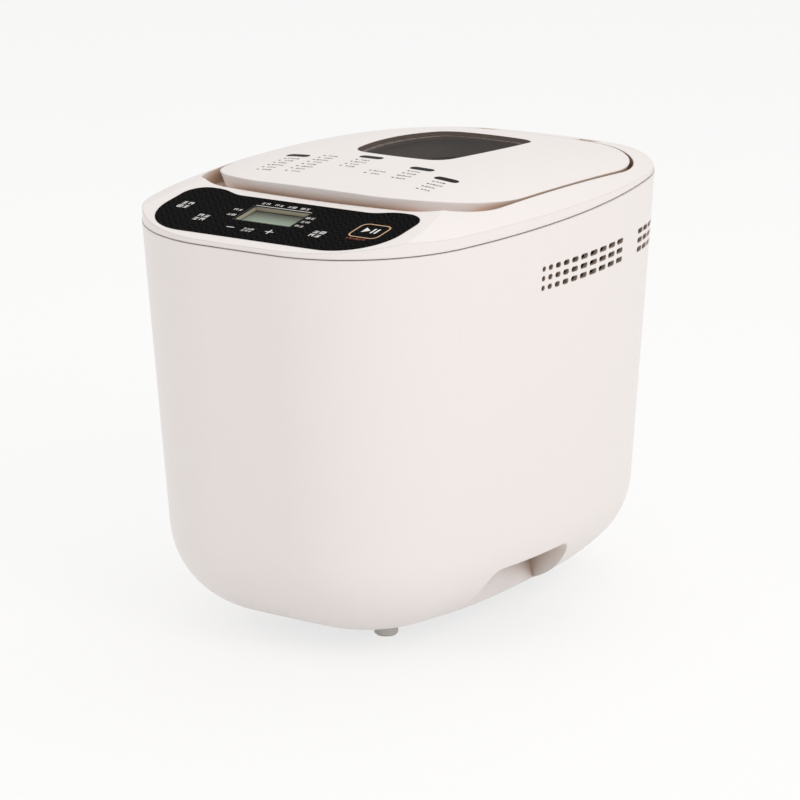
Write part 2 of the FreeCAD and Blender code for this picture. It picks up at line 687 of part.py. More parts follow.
def bottom_pieces():
    cover = extrude("cover_plate",
                    cover_outline("cover_plate_outline", "0", "body_floor - cover_thickness"),
                    "cover_thickness")
    plug = extrude("cover_plug",
                   cover_outline("cover_plug_outline", "opening_margin + fit_gap", "body_floor"), "wall")
    holes = [screw_hole(f"cover_hole_{tag}", COVER_SCREW, x, y, "body_floor - cover_thickness", False)
             for tag, x, y in BASE_BOSSES]
    node("base_cover", cut("base_cover", fuse("cover_blank", cover, plug), *holes))
    node("base_screws", group("base_screws", [
        screw(f"base_screw_{tag}", COVER_SCREW, x, y, "body_floor - cover_thickness", False)
        for tag, x, y in BASE_BOSSES]))
    height = "(body_floor - cover_thickness)"
    profile = [("0", "0"), ("foot_diameter / 2 - 1", "0"), ("foot_diameter / 2", "1"),
               ("foot_diameter / 2", height), ("0", height)]
    spots = four_spots("foot_spread_x / 2", "-foot_spread_y / 2", "foot_spread_y / 2")
    node("feet", group("feet", [turned(f"foot_{tag}", profile, x, y) for tag, x, y in spots]))


# The crowned form that the lid and the deck share
def crown(name, depth):
    """A solid under the crowned top, its surface lying depth below the finished face."""
    top = f"(long_radius - ({depth}))"
    middle = f"(crown_radius - ({depth}))"
    edge = f"(shoulder_radius - ({depth}))"
    span = f"({HALF_WIDTH} + 15)"
    low = "(long_radius - 90)"
    sketch = new_sketch(f"{name}_profile")
    half, start = value(span), value("shoulder_start")
    middle_centre = V(0, value(f"{top} - {middle}"), 0)
    lean = math.asin(start / value(middle))
    meet = middle_centre + V(math.sin(lean), math.cos(lean), 0) * value(middle)
    edge_centre = meet - V(math.sin(lean), math.cos(lean), 0) * value(edge)
    reach = math.asin((half - edge_centre.x) / value(edge))
    end = edge_centre + V(math.sin(reach), math.cos(reach), 0) * value(edge)
    floor = value(low)
    up = math.pi / 2
    left_centre = V(-edge_centre.x, edge_centre.y, 0)
    sketch.addGeometry(Part.ArcOfCircle(Part.Circle(edge_centre, Z_AXIS, value(edge)), up - reach,
                                        up - lean))
    sketch.addGeometry(Part.ArcOfCircle(Part.Circle(middle_centre, Z_AXIS, value(middle)), up - lean,
                                        up + lean))
    sketch.addGeometry(Part.ArcOfCircle(Part.Circle(left_centre, Z_AXIS, value(edge)), up + lean,
                                        up + reach))
    sketch.addGeometry(Part.LineSegment(V(-half, end.y, 0), V(-half, floor, 0)))
    sketch.addGeometry(Part.LineSegment(V(-half, floor, 0), V(half, floor, 0)))
    sketch.addGeometry(Part.LineSegment(V(half, floor, 0), V(half, end.y, 0)))
    for first, second in ((0, 1), (1, 2)):
        tie("Tangent", first, 2, second, 1)
    for first, second in ((2, 3), (3, 4), (4, 5), (5, 0)):
        tie("Coincident", first, 2, second, 1)
    hold("Radius", (0,), edge)
    hold("Radius", (1,), middle)
    hold("Radius", (2,), edge)
    pin_point(1, 3, "0", f"{top} - {middle}")
    hold("DistanceX", (-1, 1, 1, 1), "shoulder_start")
    hold("DistanceX", (-1, 1, 1, 2), "-shoulder_start")
    hold("DistanceX", (-1, 1, 0, 1), span)
    hold("DistanceX", (-1, 1, 2, 2), f"-({span})")
    pin_point(3, 2, f"-({span})", low)
    pin_point(4, 2, span, low)
    settle(sketch)
    base = "crown_height - long_radius"
    place(sketch, "0", "crown_middle", base, X_AXIS, "90")
    barrel = doc.addObject("Part::Revolution", name)
    barrel.Source = sketch
    barrel.Axis = X_AXIS
    barrel.Angle = 32
    barrel.Symmetric = True
    barrel.Solid = True
    barrel.setExpression("Base.y", formula("crown_middle"))
    barrel.setExpression("Base.z", formula(base))
    return barrel


def shared_crown(name, depth):
    """Crowned forms are made once and used by several pieces."""
    if name not in SPOTS:
        SPOTS[name] = crown(name, depth)
    return SPOTS[name]


def panel_side(name, depth):
    """Everything below the sloping key panel, lowered by depth."""
    block = doc.addObject("Part::Box", name)
    bind(block, Length=f"2 * {FAR}", Width=f"2 * {FAR}", Height=FAR)
    lower = f"({FAR} + ({depth}))"
    return place(block, f"-{FAR}", f"panel_middle - {FAR} * cos(panel_angle) + {lower} * sin(panel_angle)",
                 f"panel_height - {FAR} * sin(panel_angle) - {lower} * cos(panel_angle)", X_AXIS,
                 "panel_angle")


def on_panel(thing, x="0", y="0", z="0"):
    """Lay a piece on the sloping panel: x, y along it, z out of it."""
    return place(thing, x, f"panel_middle + ({y}) * cos(panel_angle) - ({z}) * sin(panel_angle)",
                 f"panel_height + ({y}) * sin(panel_angle) + ({z}) * cos(panel_angle)", X_AXIS,
                 "panel_angle")


def tub_prism(name, inset, base, height):
    """A straight prism on the tub's top outline, drawn in by inset."""
    sketch = oval(f"{name}_outline", f"{HALF_WIDTH} - ({inset})", f"{HALF_DEPTH} - ({inset})", "side_bow",
                  "end_bow", f"(body_corner - ({inset}))", "0", base)
    return extrude(name, sketch, height)


LID_MIDDLE = "((lid_rear - lid_front) / 2)"
LID_HALF_DEPTH = "((lid_rear + lid_front) / 2)"
WELL_FRONT = "(lid_front + finger_gap)"
WELL_REAR = "(lid_rear + lid_gap)"
WELL_EDGE = f"(crown_height - long_radius + sqrt(long_radius ^ 2 - ({WELL_REAR} - crown_middle) ^ 2))"
TONGUE_INSET = "(wall + fit_gap + tongue_depth * tan(side_draft))"
DECK_INNER = f"({TONGUE_INSET} + tongue_wall)"
ABOVE = "60"


def well_prism(name, grow, base):
    """The recess that the lid lies in, grown by its wall."""
    half = f"lid_width / 2 + lid_gap + ({grow})"
    sketch = oval(f"{name}_outline", half, f"({WELL_FRONT} + {WELL_REAR}) / 2 + ({grow})", "lid_side_bow",
                  "lid_end_bow", f"(recess_corner + ({grow}))", f"({WELL_REAR} - {WELL_FRONT}) / 2", base,
                  f"(lid_corner + lid_gap + ({grow}))")
    return extrude(name, sketch, ABOVE)


HINGE_SPOTS = [("right", "hinge_x"), ("left", "-hinge_x")]
BOARD_POSTS = four_spots("board_post_x", "board_y - board_post_y", "board_y + board_post_y")
SHELF = "(ledge_height - deck_wall)"
MOUTH_X = "(oven_width / 2 - mouth_margin)"
MOUTH_Y = "(oven_length / 2 - mouth_margin)"
MOUTH_CORNER = "(oven_corner - mouth_margin)"


def film_corners(grow):
    """Corners of the panel film, grown by its gap."""
    side = f"(film_width / 2 + ({grow}))"
    rear = f"(film_rear + ({grow}))"
    ear = f"(film_ear + ({grow}))"
    right = [("film_straight", rear), ("ear_start", ear), (side, ear), (side, f"-(film_front + ({grow}))")]
    left = [(f"-({x})", y) for x, y in reversed(right)]
    return left + right


def film_blank(name, grow, height):
    """The film's outline as a plate; the corners follow the deck's rounded front."""
    corners = film_corners(grow)
    left, right = corners[:4], corners[4:8]
    rounds = [("film_front_radius", [left[0], right[3]]), ("ear_radius", [left[1], right[2]]),
              ("film_bend_radius", [left[2], left[3], right[0], right[1]])]
    return padded(name, corners, height, "XY_Plane", rounds)


KEYS = {
    "menu_key": ("-62.8", "3.5"), "weight_key": ("-42.7", "-9"), "minus_key": ("-18.6", "-15.7"),
    "plus_key": ("6.1", "-15"), "colour_key": ("32.7", "-9.5"), "start_key": ("57.6", "2.3"),
}


def swing_relief():
    """A chamfer on the recess's rear edge, between the hinges, that lets the lid's rear edge swing past."""
    block = doc.addObject("Part::Box", "swing_relief_block")
    bind(block, Length="2 * hinge_x", Width="swing_relief + 6", Height="swing_relief + 6")
    return place(block, "-hinge_x", f"{WELL_REAR} - 2", f"{WELL_EDGE} - swing_relief - 2", X_AXIS, "45")


def top_deck():
    low = "(parting_height - 40)"
    prism = tub_prism("deck_prism", "skirt_inset", low, "100")
    face = common("deck_face", prism, shared_crown("crown_top", "0"), panel_side("panel_plane", "0"))
    above = common("deck_above_seam", face, tilted_block("deck_seam", "seam_gap", True))
    tongue_prism = tub_prism("tongue_prism", TONGUE_INSET, low, ABOVE)
    tongue = common("deck_tongue",
                    common("tongue_under_panel", tongue_prism, panel_side("tongue_panel", "deck_wall")),
                    tilted_block("tongue_low", "-tongue_depth", True),
                    shared_crown("crown_under", "deck_wall"))
    blank = fuse("deck_blank", above, tongue)
    inner = tub_prism("deck_inner_prism", DECK_INNER, low, "90")
    hollow = common("deck_hollow", inner, shared_crown("crown_under", "deck_wall"),
                    panel_side("panel_under", "deck_wall"))
    block_depth = "(knuckle_diameter + 2 * arm_gap + 2 * deck_wall)"
    keep = [well_prism("well_wall", "deck_wall", SHELF)]
    for side, x in HINGE_SPOTS:
        keep.append(box(f"hinge_block_{side}", "hinge_block", block_depth, ABOVE, x, "hinge_y",
                        "hinge_z - knuckle_diameter / 2 - arm_gap - deck_wall"))
    for tag, x, y in BOARD_POSTS:
        keep.append(on_panel(cylinder(f"board_post_{tag}", "board_post", "board_drop"), x, y,
                             "-board_drop"))
    shell = cut("deck_shell", blank, cut("deck_room", hollow, *keep))
    shelf = common("deck_shelf", well_prism("shelf_prism", "deck_wall", SHELF),
                   box("shelf_slab", f"2 * {FAR}", f"2 * {FAR}", "deck_wall", "0", "0", SHELF))
    tools = [well_prism("well_room", "0", "ledge_height")]
    tools.append(plate("oven_mouth", MOUTH_X, MOUTH_Y, MOUTH_CORNER, "40", "oven_y", "ledge_height - 20"))
    knuckle_room = "(knuckle_diameter + 2 * arm_gap)"
    for side, x in HINGE_SPOTS:
        room = f"(hinge_y + {knuckle_room} / 2 - {WELL_REAR} + 4)"
        tools.append(box(f"hinge_room_{side}", "arm_width + 2 * arm_gap", room, ABOVE, x,
                         f"hinge_y + {knuckle_room} / 2 - {room} / 2", f"hinge_z - {knuckle_room} / 2"))
        tools.append(cylinder(f"pin_room_{side}", "pin_diameter + 2 * thread_clearance", "hinge_block + 10",
                              f"{x} - hinge_block / 2 - 5", "hinge_y", "hinge_z", Y_AXIS))
    tools.append(swing_relief())
    for tag, x, y in DECK_BOSSES:
        tools.append(screw_hole(f"deck_hole_{tag}", DECK_SCREW, x, y, "ledge_height"))
    for tag, x, y in BOARD_POSTS:
        hole = cylinder(f"board_hole_{tag}", "screw_diameter + 2 * thread_clearance", "screw_length - 3")
        tools.append(on_panel(hole, x, y, "-board_drop"))
    tools.append(on_panel(film_blank("film_room", "film_gap", "5"), z="-film_recess"))
    lcd_hole = box("lcd_hole", "lcd_width + 2 * film_gap", "lcd_length + 2 * film_gap", "20", "0", "0", "0")
    tools.append(lay_block(lcd_hole, "lcd_x", "lcd_y", "-10", "lcd_width + 2 * film_gap",
                           "lcd_length + 2 * film_gap"))
    for key, (x, y) in KEYS.items():
        hole = cylinder(f"{key}_hole", "key_diameter + 2 * key_gap", "20")
        tools.append(on_panel(hole, x, y, "-10"))
    deck = cut("top_deck", fuse("deck_with_shelf", shell, shelf), *tools)
    node("top_deck", deck)
    node("deck_screws", group("deck_screws", [
        screw(f"deck_screw_{tag}", DECK_SCREW, x, y, "ledge_height") for tag, x, y in DECK_BOSSES]))


def lay_block(block, x, y, z, length, width):
    """Lay a block on the panel, centred on x, y."""
    return on_panel(block, f"{x} - ({length}) / 2", f"{y} - ({width}) / 2", z)


# Key panel
def key_panel():
    film = film_blank("film_sheet", "0", "film_thickness")
    hole = box("film_hole", "lcd_width", "lcd_length", "5", "0", "0", "0")
    on_panel(film, z="-film_recess")
    lay_block(hole, "lcd_x", "lcd_y", "-2", "lcd_width", "lcd_length")
    node("control_film", cut("control_film", film, hole))
    window_x, window_y = "(lcd_width - film_gap)", "(lcd_length - film_gap)"
    lens = box("lcd_window", window_x, window_y, "1.5", "0", "0", "0")
    node("lcd_window", lay_block(lens, "lcd_x", "lcd_y", "film_thickness - film_recess - 1.5 - 0.1",
                                 window_x, window_y))
    module_x, module_y = "(lcd_width + 2 * lcd_border)", "(lcd_length + 2 * lcd_border)"
    module = box("lcd_module", module_x, module_y, "board_drop - deck_wall - fit_gap", "0", "0", "0")
    node("lcd_module", lay_block(module, "lcd_x", "lcd_y", "-board_drop", module_x, module_y))
    under_film = "(-film_recess - 0.05)"
    flange_top = "(-deck_wall - key_gap)"
    nib = "(-board_drop + switch_height + 0.5 + key_travel + 0.1)"
    switches = []
    for key, (x, y) in KEYS.items():
        profile = [("0", nib), ("1.5", nib), ("1.5", f"{flange_top} - 1.2"),
                   ("key_flange / 2", f"{flange_top} - 1.2"),
                   ("key_flange / 2", flange_top), ("key_diameter / 2", flange_top),
                   ("key_diameter / 2", under_film), ("0", under_film)]
        node(key, on_panel(turned(key, profile), x, y))
        body = box(f"{key}_switch_body", "switch_size", "switch_size", "switch_height", "0", "0", "0")
        lay_block(body, x, y, "-board_drop", "switch_size", "switch_size")
        stem = on_panel(cylinder(f"{key}_switch_stem", "3.4", "0.5"), x, y, "-board_drop + switch_height")
        switches.append(fuse(f"{key}_switch", body, stem))
    node("tact_switches", group("tact_switches", switches))
    board = box("board_blank", "board_width", "board_length", "board_thickness", "0", "0", "0")
    lay_block(board, "0", "board_y", "-board_drop - board_thickness", "board_width", "board_length")
    holes, screws = [], []
    for tag, x, y in BOARD_POSTS:
        hole = cylinder(f"board_clear_{tag}", "screw_diameter + 2 * thread_clearance", "10")
        holes.append(on_panel(hole, x, y, "-board_drop - 5"))
        under = "(-board_drop - board_thickness)"
        profile = [("0", f"{under} - 1.6"), ("screw_head / 2", f"{under} - 1.6"), ("screw_head / 2", under),
                   ("screw_diameter / 2", under), ("screw_diameter / 2", "-board_drop + screw_length - 4"),
                   ("0", "-board_drop + screw_length - 4")]
        screws.append(on_panel(turned(f"board_screw_{tag}", profile), x, y))
    node("control_board", cut("control_board", board, *holes))
    node("board_screws", group("board_screws", screws))


# Lid
def lid_form(name, inset, low, high):
    """The lid's drafted sides as a solid between two heights, drawn in by inset."""
    slope = "(lid_draft / (lid_edge_height - lid_bottom))"
    sections = []
    for tag, height in (("low", low), ("high", high)):
        shrink = f"(({inset}) + {slope} * (lid_edge_height - ({height})))"
        sections.append(oval(f"{name}_{tag}", f"lid_width / 2 - {shrink}", f"{LID_HALF_DEPTH} - {shrink}",
                             "lid_side_bow", "lid_end_bow", f"(lid_corner - {shrink})", LID_MIDDLE, height))
    return loft(name, sections, ruled=True)


def window_prism(name, grow, base="lid_bottom - 20"):
    sketch = oval(f"{name}_outline", f"window_width / 2 + ({grow})", f"window_length / 2 + ({grow})",
                  "window_side_bow", "window_end_bow", f"(window_corner + ({grow}))", "window_middle", base)
    return extrude(name, sketch, "80")


LID_POSTS = four_spots("lid_post_x", "lid_post_front", "lid_post_rear")
LINER_TOP = "(lid_bottom + liner_thickness)"
LID_SCREW = "(screw_length + liner_thickness)"
GASKET_DEPTH = "(lid_wall + gasket_thickness)"


def lid():
    outside = common("lid_outside", lid_form("lid_sides", "0", "lid_bottom", "lid_bottom + 40"),
                     shared_crown("crown_top", "0"))
    inside = common("lid_inside",
                    lid_form("lid_inner_sides", "lid_wall", "lid_bottom - 4", "lid_bottom + 40"),
                    shared_crown("crown_lid_under", "lid_wall"))
    posts = [cylinder(f"lid_post_{tag}", "boss_diameter", "40", x, y, LINER_TOP) for tag, x, y in LID_POSTS]
    hollow = cut("lid_hollow", inside, *posts)
    tools = [hollow, window_prism("window_opening", "0")]
    for side, x in HINGE_SPOTS:
        tools.append(box(f"arm_notch_{side}", "arm_width + 2 * arm_gap", "30", "knuckle_diameter / 2 + 4",
                         x, "lid_rear",
                         "lid_bottom - 4"))
    for tag, x, y in LID_POSTS:
        tools.append(screw_hole(f"lid_post_room_{tag}", LID_SCREW, x, y, "lid_bottom", False))
    shell = outside
    for step, tool in enumerate(tools):
        shell = cut("lid_shell" if step == len(tools) - 1 else f"lid_step_{step}", shell, tool)
    node("lid_shell", shell)

    pane = common("pane_blank", window_prism("pane_prism", "-window_gap"), shared_crown("crown_top", "0"))
    node("lid_window", cut("lid_window", pane, shared_crown("crown_lid_under", "lid_wall")))

    pad = common("gasket_blank", window_prism("gasket_outside", "gasket_lap"),
                 shared_crown("crown_lid_under", "lid_wall"))
    node("window_gasket", cut("window_gasket", pad, shared_crown("crown_gasket_under", GASKET_DEPTH),
                              window_prism("gasket_inside", "-gasket_lap")))

    sheet = lid_form("liner_form", "lid_wall + fit_gap", "lid_bottom", LINER_TOP)
    collar = common("liner_collar", window_prism("collar_outside", "gasket_lap", LINER_TOP),
                    shared_crown("crown_gasket_under", GASKET_DEPTH))
    arms = []
    for side, x in HINGE_SPOTS:
        arms.append(box(f"arm_{side}", "arm_width", "hinge_y - lid_rear + 16", "knuckle_diameter / 2", x,
                        "(hinge_y + lid_rear - 16) / 2", "lid_bottom"))
        arms.append(cylinder(f"knuckle_{side}", "knuckle_diameter", "arm_width", f"{x} - arm_width / 2",
                             "hinge_y",
                             "hinge_z", Y_AXIS))
    holes = [window_prism("liner_opening", "gasket_lap - liner_thickness")]
    holes += [cylinder(f"knuckle_bore_{side}", "pin_diameter + 2 * pin_clearance", "arm_width + 10",
                       f"{x} - arm_width / 2 - 5", "hinge_y", "hinge_z", Y_AXIS) for side, x in HINGE_SPOTS]
    holes += [screw_hole(f"liner_hole_{tag}", LID_SCREW, x, y, "lid_bottom",
                         False) for tag, x, y in LID_POSTS]
    node("lid_liner", cut("lid_liner", fuse("liner_blank", sheet, collar, *arms), *holes))
    node("lid_screws", group("lid_screws", [
        screw(f"lid_screw_{tag}", LID_SCREW, x, y, "lid_bottom", False) for tag, x, y in LID_POSTS]))
    node("hinge_pins", group("hinge_pins", [
        cylinder(f"hinge_pin_{side}", "pin_diameter", "hinge_block", f"{x} - hinge_block / 2", "hinge_y",
                 "hinge_z", Y_AXIS)
        for side, x in HINGE_SPOTS]))


# Oven
OVEN_X = "(oven_width / 2)"
OVEN_Y = "(oven_length / 2)"
OVEN_TOP = f"({SHELF} - fit_gap)"
ELEMENT_X = "(oven_width / 2 - element_wall_gap)"
ELEMENT_Y = "(oven_length / 2 - element_wall_gap)"
OVEN_FRONT = f"(oven_y - {OVEN_Y})"
CHASSIS_TOP = "(chassis_height + chassis_thickness)"


def oven():
    shell = plate("oven_outside", f"{OVEN_X} + sheet", f"{OVEN_Y} + sheet", "oven_corner + sheet",
                  f"{OVEN_TOP} - oven_floor + sheet", "oven_y", "oven_floor - sheet")
    flange = plate("oven_flange_plate", f"{OVEN_X} + oven_flange", f"{OVEN_Y} + oven_flange",
                   "oven_corner + oven_flange",
                   "sheet", "oven_y", f"{OVEN_TOP} - sheet")
    legs = []
    for tag, x, y in four_spots(f"{OVEN_X} - oven_leg", f"oven_y - {OVEN_Y} / 2 - 4",
                                f"oven_y + {OVEN_Y} / 2 + 4"):
        legs.append(box(f"oven_leg_{tag}", "sheet", "oven_leg", f"oven_floor - sheet - {CHASSIS_TOP}", x, y,
                        CHASSIS_TOP))
        sign = "-" if x.startswith("-") else ""
        legs.append(box(f"oven_toe_{tag}", "oven_leg", "oven_leg", "sheet", f"{x} - {sign}(oven_leg / 2)",
                        y, CHASSIS_TOP))
    room = plate("oven_inside", OVEN_X, OVEN_Y, "oven_corner", "200", "oven_y", "oven_floor")
    holes = [room, cylinder("oven_shaft_hole", "drive_bearing_diameter", "20", "0", "oven_y",
                            "oven_floor - 10")]
    for side, sign in (("right", ""), ("left", "-")):
        holes.append(cylinder(f"terminal_hole_{side}", "element_diameter + 1", "12", f"{sign}terminal_x",
                              f"{OVEN_FRONT} + 6", "element_height", X_AXIS))
    holes.append(cylinder("sensor_hole", "sensor_diameter", "20", f"{OVEN_X} - 10", "oven_y",
                          "sensor_height", Y_AXIS))
    node("oven_chamber", cut("oven_chamber", fuse("oven_blank", shell, flange, *legs), *holes))
    seat_inner = "(base_ring_diameter + 2 * seat_gap)"
    node("pan_seat", ring("pan_seat", f"{seat_inner} + 2 * seat_wall", seat_inner, "seat_height", "0",
                          "oven_y", "oven_floor"))
    heating_element()
    probe = [("0", "0"), ("sensor_diameter / 2", "0"), ("sensor_diameter / 2", "14"), ("5", "14"),
             ("5", "18"), ("0", "18")]
    node("temperature_sensor",
         turned("temperature_sensor", probe, f"{OVEN_X} + sheet - 14", "oven_y", "sensor_height", Y_AXIS))
    fuse_y = f"oven_y + {OVEN_Y} + sheet + fuse_diameter / 2"
    node("thermal_fuse",
         cylinder("thermal_fuse", "fuse_diameter", "fuse_length", "-fuse_length / 2", fuse_y,
                                  "sensor_height + 20", Y_AXIS))


def heating_element():
    """A tube bent round the foot of the pan, its two ends leaving through the oven's front wall."""
    front = f"(-{ELEMENT_Y})"
    tail = f"(-{OVEN_Y} - terminal_reach)"
    corners = [("-terminal_x", tail), ("-terminal_x", front), (f"-{ELEMENT_X}", front),
               (f"-{ELEMENT_X}", ELEMENT_Y),
               (ELEMENT_X, ELEMENT_Y), (ELEMENT_X, front), ("terminal_x", front), ("terminal_x", tail)]
    radii = ["0", "terminal_bend", "element_bend", "element_bend", "element_bend", "element_bend",
             "terminal_bend", "0"]
    path = place(draw_rounded_path(new_sketch("element_path"), corners, radii, closed=False), "0", "oven_y",
                 "element_height")
    section = round_section("element_section", "element_diameter / 2")
    place(section, "-terminal_x", f"oven_y + {tail}", "element_height", X_AXIS, "90")
    tube = doc.addObject("Part::Sweep", "heating_element")
    tube.Sections = [section]
    tube.Spine = (path, [f"Edge{number}" for number in range(1, path.GeometryCount + 1)])
    tube.Solid = True
    node("heating_element", tube)
    clamps = []
    for side, sign in (("right", ""), ("left", "-")):
        post = box(f"clamp_post_{side}", "element_diameter + 3", "clamp_width",
                   "element_height - oven_floor",
                   f"{sign}{ELEMENT_X}", "oven_y", "oven_floor")
        saddle = cylinder(f"clamp_saddle_{side}", "element_diameter + 0.1", "40", f"{sign}{ELEMENT_X}",
                          "oven_y + 20",
                          "element_height", X_AXIS)
        clamps.append(cut(f"element_clamp_{side}", post, saddle))
    node("element_clamps", group("element_clamps", clamps))


# Bread pan and what turns in it
def pan_form(name, skin, bottom, top):
    """The pan's tapered form, drawn in by skin."""
    low = rounded_rectangle(f"{name}_low", f"pan_foot_width / 2 - ({skin})",
                            f"pan_foot_length / 2 - ({skin})",
                            f"pan_corner - ({skin})", "oven_y", bottom)
    high = rounded_rectangle(f"{name}_high", f"pan_top_width / 2 - ({skin})",
                             f"pan_top_length / 2 - ({skin})",
                             f"pan_corner - ({skin})", "oven_y", top)
    return loft(name, [low, high], ruled=True)


LUG_Z = "(pan_rim - lug_drop)"
LUG_X = "(pan_top_width / 2 + pan_flange)"
DISC_BASE = "(oven_floor + drive_bearing_rise + 0.5 + drive_coupling_height + dog_height + dog_gap)"


def bread_pan():
    outside = pan_form("pan_outside", "0", "pan_bottom", "pan_rim")
    lip = plate("pan_lip", "pan_top_width / 2 + pan_flange", "pan_top_length / 2 + pan_flange",
                "pan_corner + pan_flange",
                "pan_flange_thickness", "oven_y", "pan_rim - pan_flange_thickness")
    inside = pan_form("pan_inside", "pan_wall", "pan_bottom + pan_wall", "pan_rim + 0.02")
    hole = cylinder("pan_hole", "bearing_diameter", "10", "0", "oven_y", "pan_bottom - 5")
    node("bread_pan", cut("bread_pan", fuse("pan_blank", outside, lip), inside, hole))
    ring_base = "(oven_floor + seat_gap)"
    node("pan_base_ring",
         ring("pan_base_ring", "base_ring_diameter", "base_ring_diameter - 2 * base_ring_wall",
                               f"pan_bottom - {ring_base}", "0", "oven_y", ring_base))
    lugs = []
    for side, sign in (("right", ""), ("left", "-")):
        inner = ("(pan_top_width / 2 - (pan_top_width - pan_foot_width) / 2 "
                 "* (lug_drop + lug_size / 2) / (pan_rim - pan_bottom))")
        block = box(f"lug_block_{side}", f"{LUG_X} - {inner}", "lug_size",
                    "lug_drop + lug_size / 2 - pan_flange_thickness",
                    f"{sign}(({LUG_X} + {inner}) / 2)", "oven_y", f"{LUG_Z} - lug_size / 2")
        bore = cylinder(f"lug_bore_{side}", "handle_wire + 2 * pin_clearance", "20", f"{sign}{LUG_X} - 10",
                        "oven_y", LUG_Z, Y_AXIS)
        lugs.append(cut(f"pan_lug_{side}", block, outside, bore))
    node("pan_lugs", group("pan_lugs", lugs))
    pan_handle()


def pan_handle():
    """A wire bail: its ends turn in the lugs, its bar lies over the pan's rear rim."""
    arm = f"({LUG_X} + handle_gap + handle_wire / 2)"
    end = f"({LUG_X} - lug_thickness)"
    corners = [(f"-{end}", "0"), (f"-{arm}", "0"), (f"-{arm}", "handle_length"), (arm, "handle_length"),
               (arm, "0"), (end, "0")]
    radii = ["0", "handle_wire", "handle_bend", "handle_bend", "handle_wire", "0"]
    path = draw_rounded_path(new_sketch("handle_path"), corners, radii, closed=False)
    section = round_section("handle_section", "handle_wire / 2")
    place(section, f"-{end}", "0", "0", Y_AXIS, "90")
    wire = doc.addObject("Part::Sweep", "pan_handle")
    wire.Sections = [section]
    wire.Spine = (path, [f"Edge{number}" for number in range(1, path.GeometryCount + 1)])
    wire.Solid = True
    node("pan_handle", place(wire, "0", "oven_y", LUG_Z, X_AXIS, "handle_rest_angle"))


def dog_plate(name, base, thickness, dogs_up, dogs_on_x, bore):
    """A coupling half: a disc with two dogs."""
    disc = cylinder(f"{name}_disc", "coupling_diameter", thickness, "0", "oven_y", base)
    reach = "(coupling_diameter / 2 - lug_reach)"
    height = f"{base} + {thickness}" if dogs_up else f"{base} - dog_height"
    dogs = []
    for tag, sign in (("a", ""), ("b", "-")):
        out = f"{sign}(lug_reach + {reach} / 2)"
        x, y = (out, "oven_y") if dogs_on_x else ("0", f"oven_y + {out}")
        sizes = (reach, "dog_width") if dogs_on_x else ("dog_width", reach)
        dogs.append(box(f"{name}_dog_{tag}", *sizes, "dog_height", x, y, height))
    limit = cylinder(f"{name}_limit", "coupling_diameter", "40", "0", "oven_y", f"{base} - 20")
    solid = common(f"{name}_blank", fuse(f"{name}_parts", disc, *dogs), limit)
    return cut(name, solid, cylinder(f"{name}_bore", bore, "60", "0", "oven_y", f"{base} - 30"))


COUPLING_BASE = "(oven_floor + drive_bearing_rise + 0.5)"


def drive_line():
    node("pan_coupling", dog_plate("pan_coupling", DISC_BASE, "pan_disc", False, False, "shaft_diameter"))
    node("drive_coupling", dog_plate("drive_coupling", COUPLING_BASE, "drive_coupling_height", True, True,
                                     "shaft_diameter"))
    node("pan_shaft", cylinder("pan_shaft", "shaft_diameter", f"shaft_top - {DISC_BASE}", "0", "oven_y",
                               DISC_BASE))
    clip_base = f"({DISC_BASE} + pan_disc)"
    node("shaft_clip", ring("shaft_clip", "clip_diameter", "shaft_diameter", "clip_thickness", "0",
                            "oven_y", clip_base))
    flange_base = f"({clip_base} + clip_thickness + 0.3)"
    bore = "(shaft_diameter / 2 + running_clearance)"
    profile = [(bore, flange_base), ("bearing_flange / 2", flange_base),
               ("bearing_flange / 2", "pan_bottom"),
               ("bearing_diameter / 2", "pan_bottom"),
               ("bearing_diameter / 2", "pan_bottom + bearing_height"),
               (bore, "pan_bottom + bearing_height")]
    node("pan_bearing", turned("pan_bearing", profile, "0", "oven_y"))
    node("shaft_seal", ring("shaft_seal", "seal_diameter", f"2 * {bore}", "seal_height", "0", "oven_y",
                            "pan_bottom + bearing_height"))
    node("drive_shaft", cylinder("drive_shaft", "shaft_diameter",
                                 f"{COUPLING_BASE} + drive_coupling_height - pulley_base + 4",
                                 "0", "oven_y", "pulley_base - 4"))
    flange = f"({CHASSIS_TOP})"
    profile = [(bore, "chassis_height - 4"), ("drive_bearing_diameter / 2", "chassis_height - 4"),
               ("drive_bearing_diameter / 2", flange), ("drive_bearing_flange / 2", flange),
               ("drive_bearing_flange / 2", f"{flange} + 3"),
               ("drive_bearing_diameter / 2", f"{flange} + 6"),
               ("drive_bearing_diameter / 2", "oven_floor + drive_bearing_rise"),
               (bore, "oven_floor + drive_bearing_rise")]
    node("drive_bearing", turned("drive_bearing", profile, "0", "oven_y"))
    paddle()


def paddle():
    """A tapered hub with one swept fin; it slips over the pan's shaft."""
    top = "(paddle_base + paddle_height)"
    hub = turned("paddle_hub_form", [("0", "paddle_base"), ("paddle_hub / 2", "paddle_base"),
                                     ("paddle_hub_top / 2", top), ("0", top)], "0", "oven_y")
    fin_top = "(paddle_base + paddle_fin_height)"
    corners = [("0", "paddle_base"), ("paddle_reach - paddle_tip", "paddle_base"),
               ("paddle_reach", "paddle_base + paddle_tip"),
               ("paddle_reach - paddle_tip", fin_top), ("0", f"{top} - 2")]
    fin = padded("paddle_fin", corners, "paddle_thickness", "XZ_Plane",
                 [("paddle_tip", [corners[3]]), ("paddle_tip / 2", [corners[1], corners[2]])])
    place(fin, "0", "oven_y + paddle_thickness / 2", "0")
    bore = cylinder("paddle_bore", "shaft_diameter + 2 * running_clearance",
                    "shaft_top + 0.4 - paddle_base + 10", "0", "oven_y",
                    "paddle_base - 10")
    node("kneading_paddle", cut("kneading_paddle", fuse("paddle_blank", hub, fin), bore))


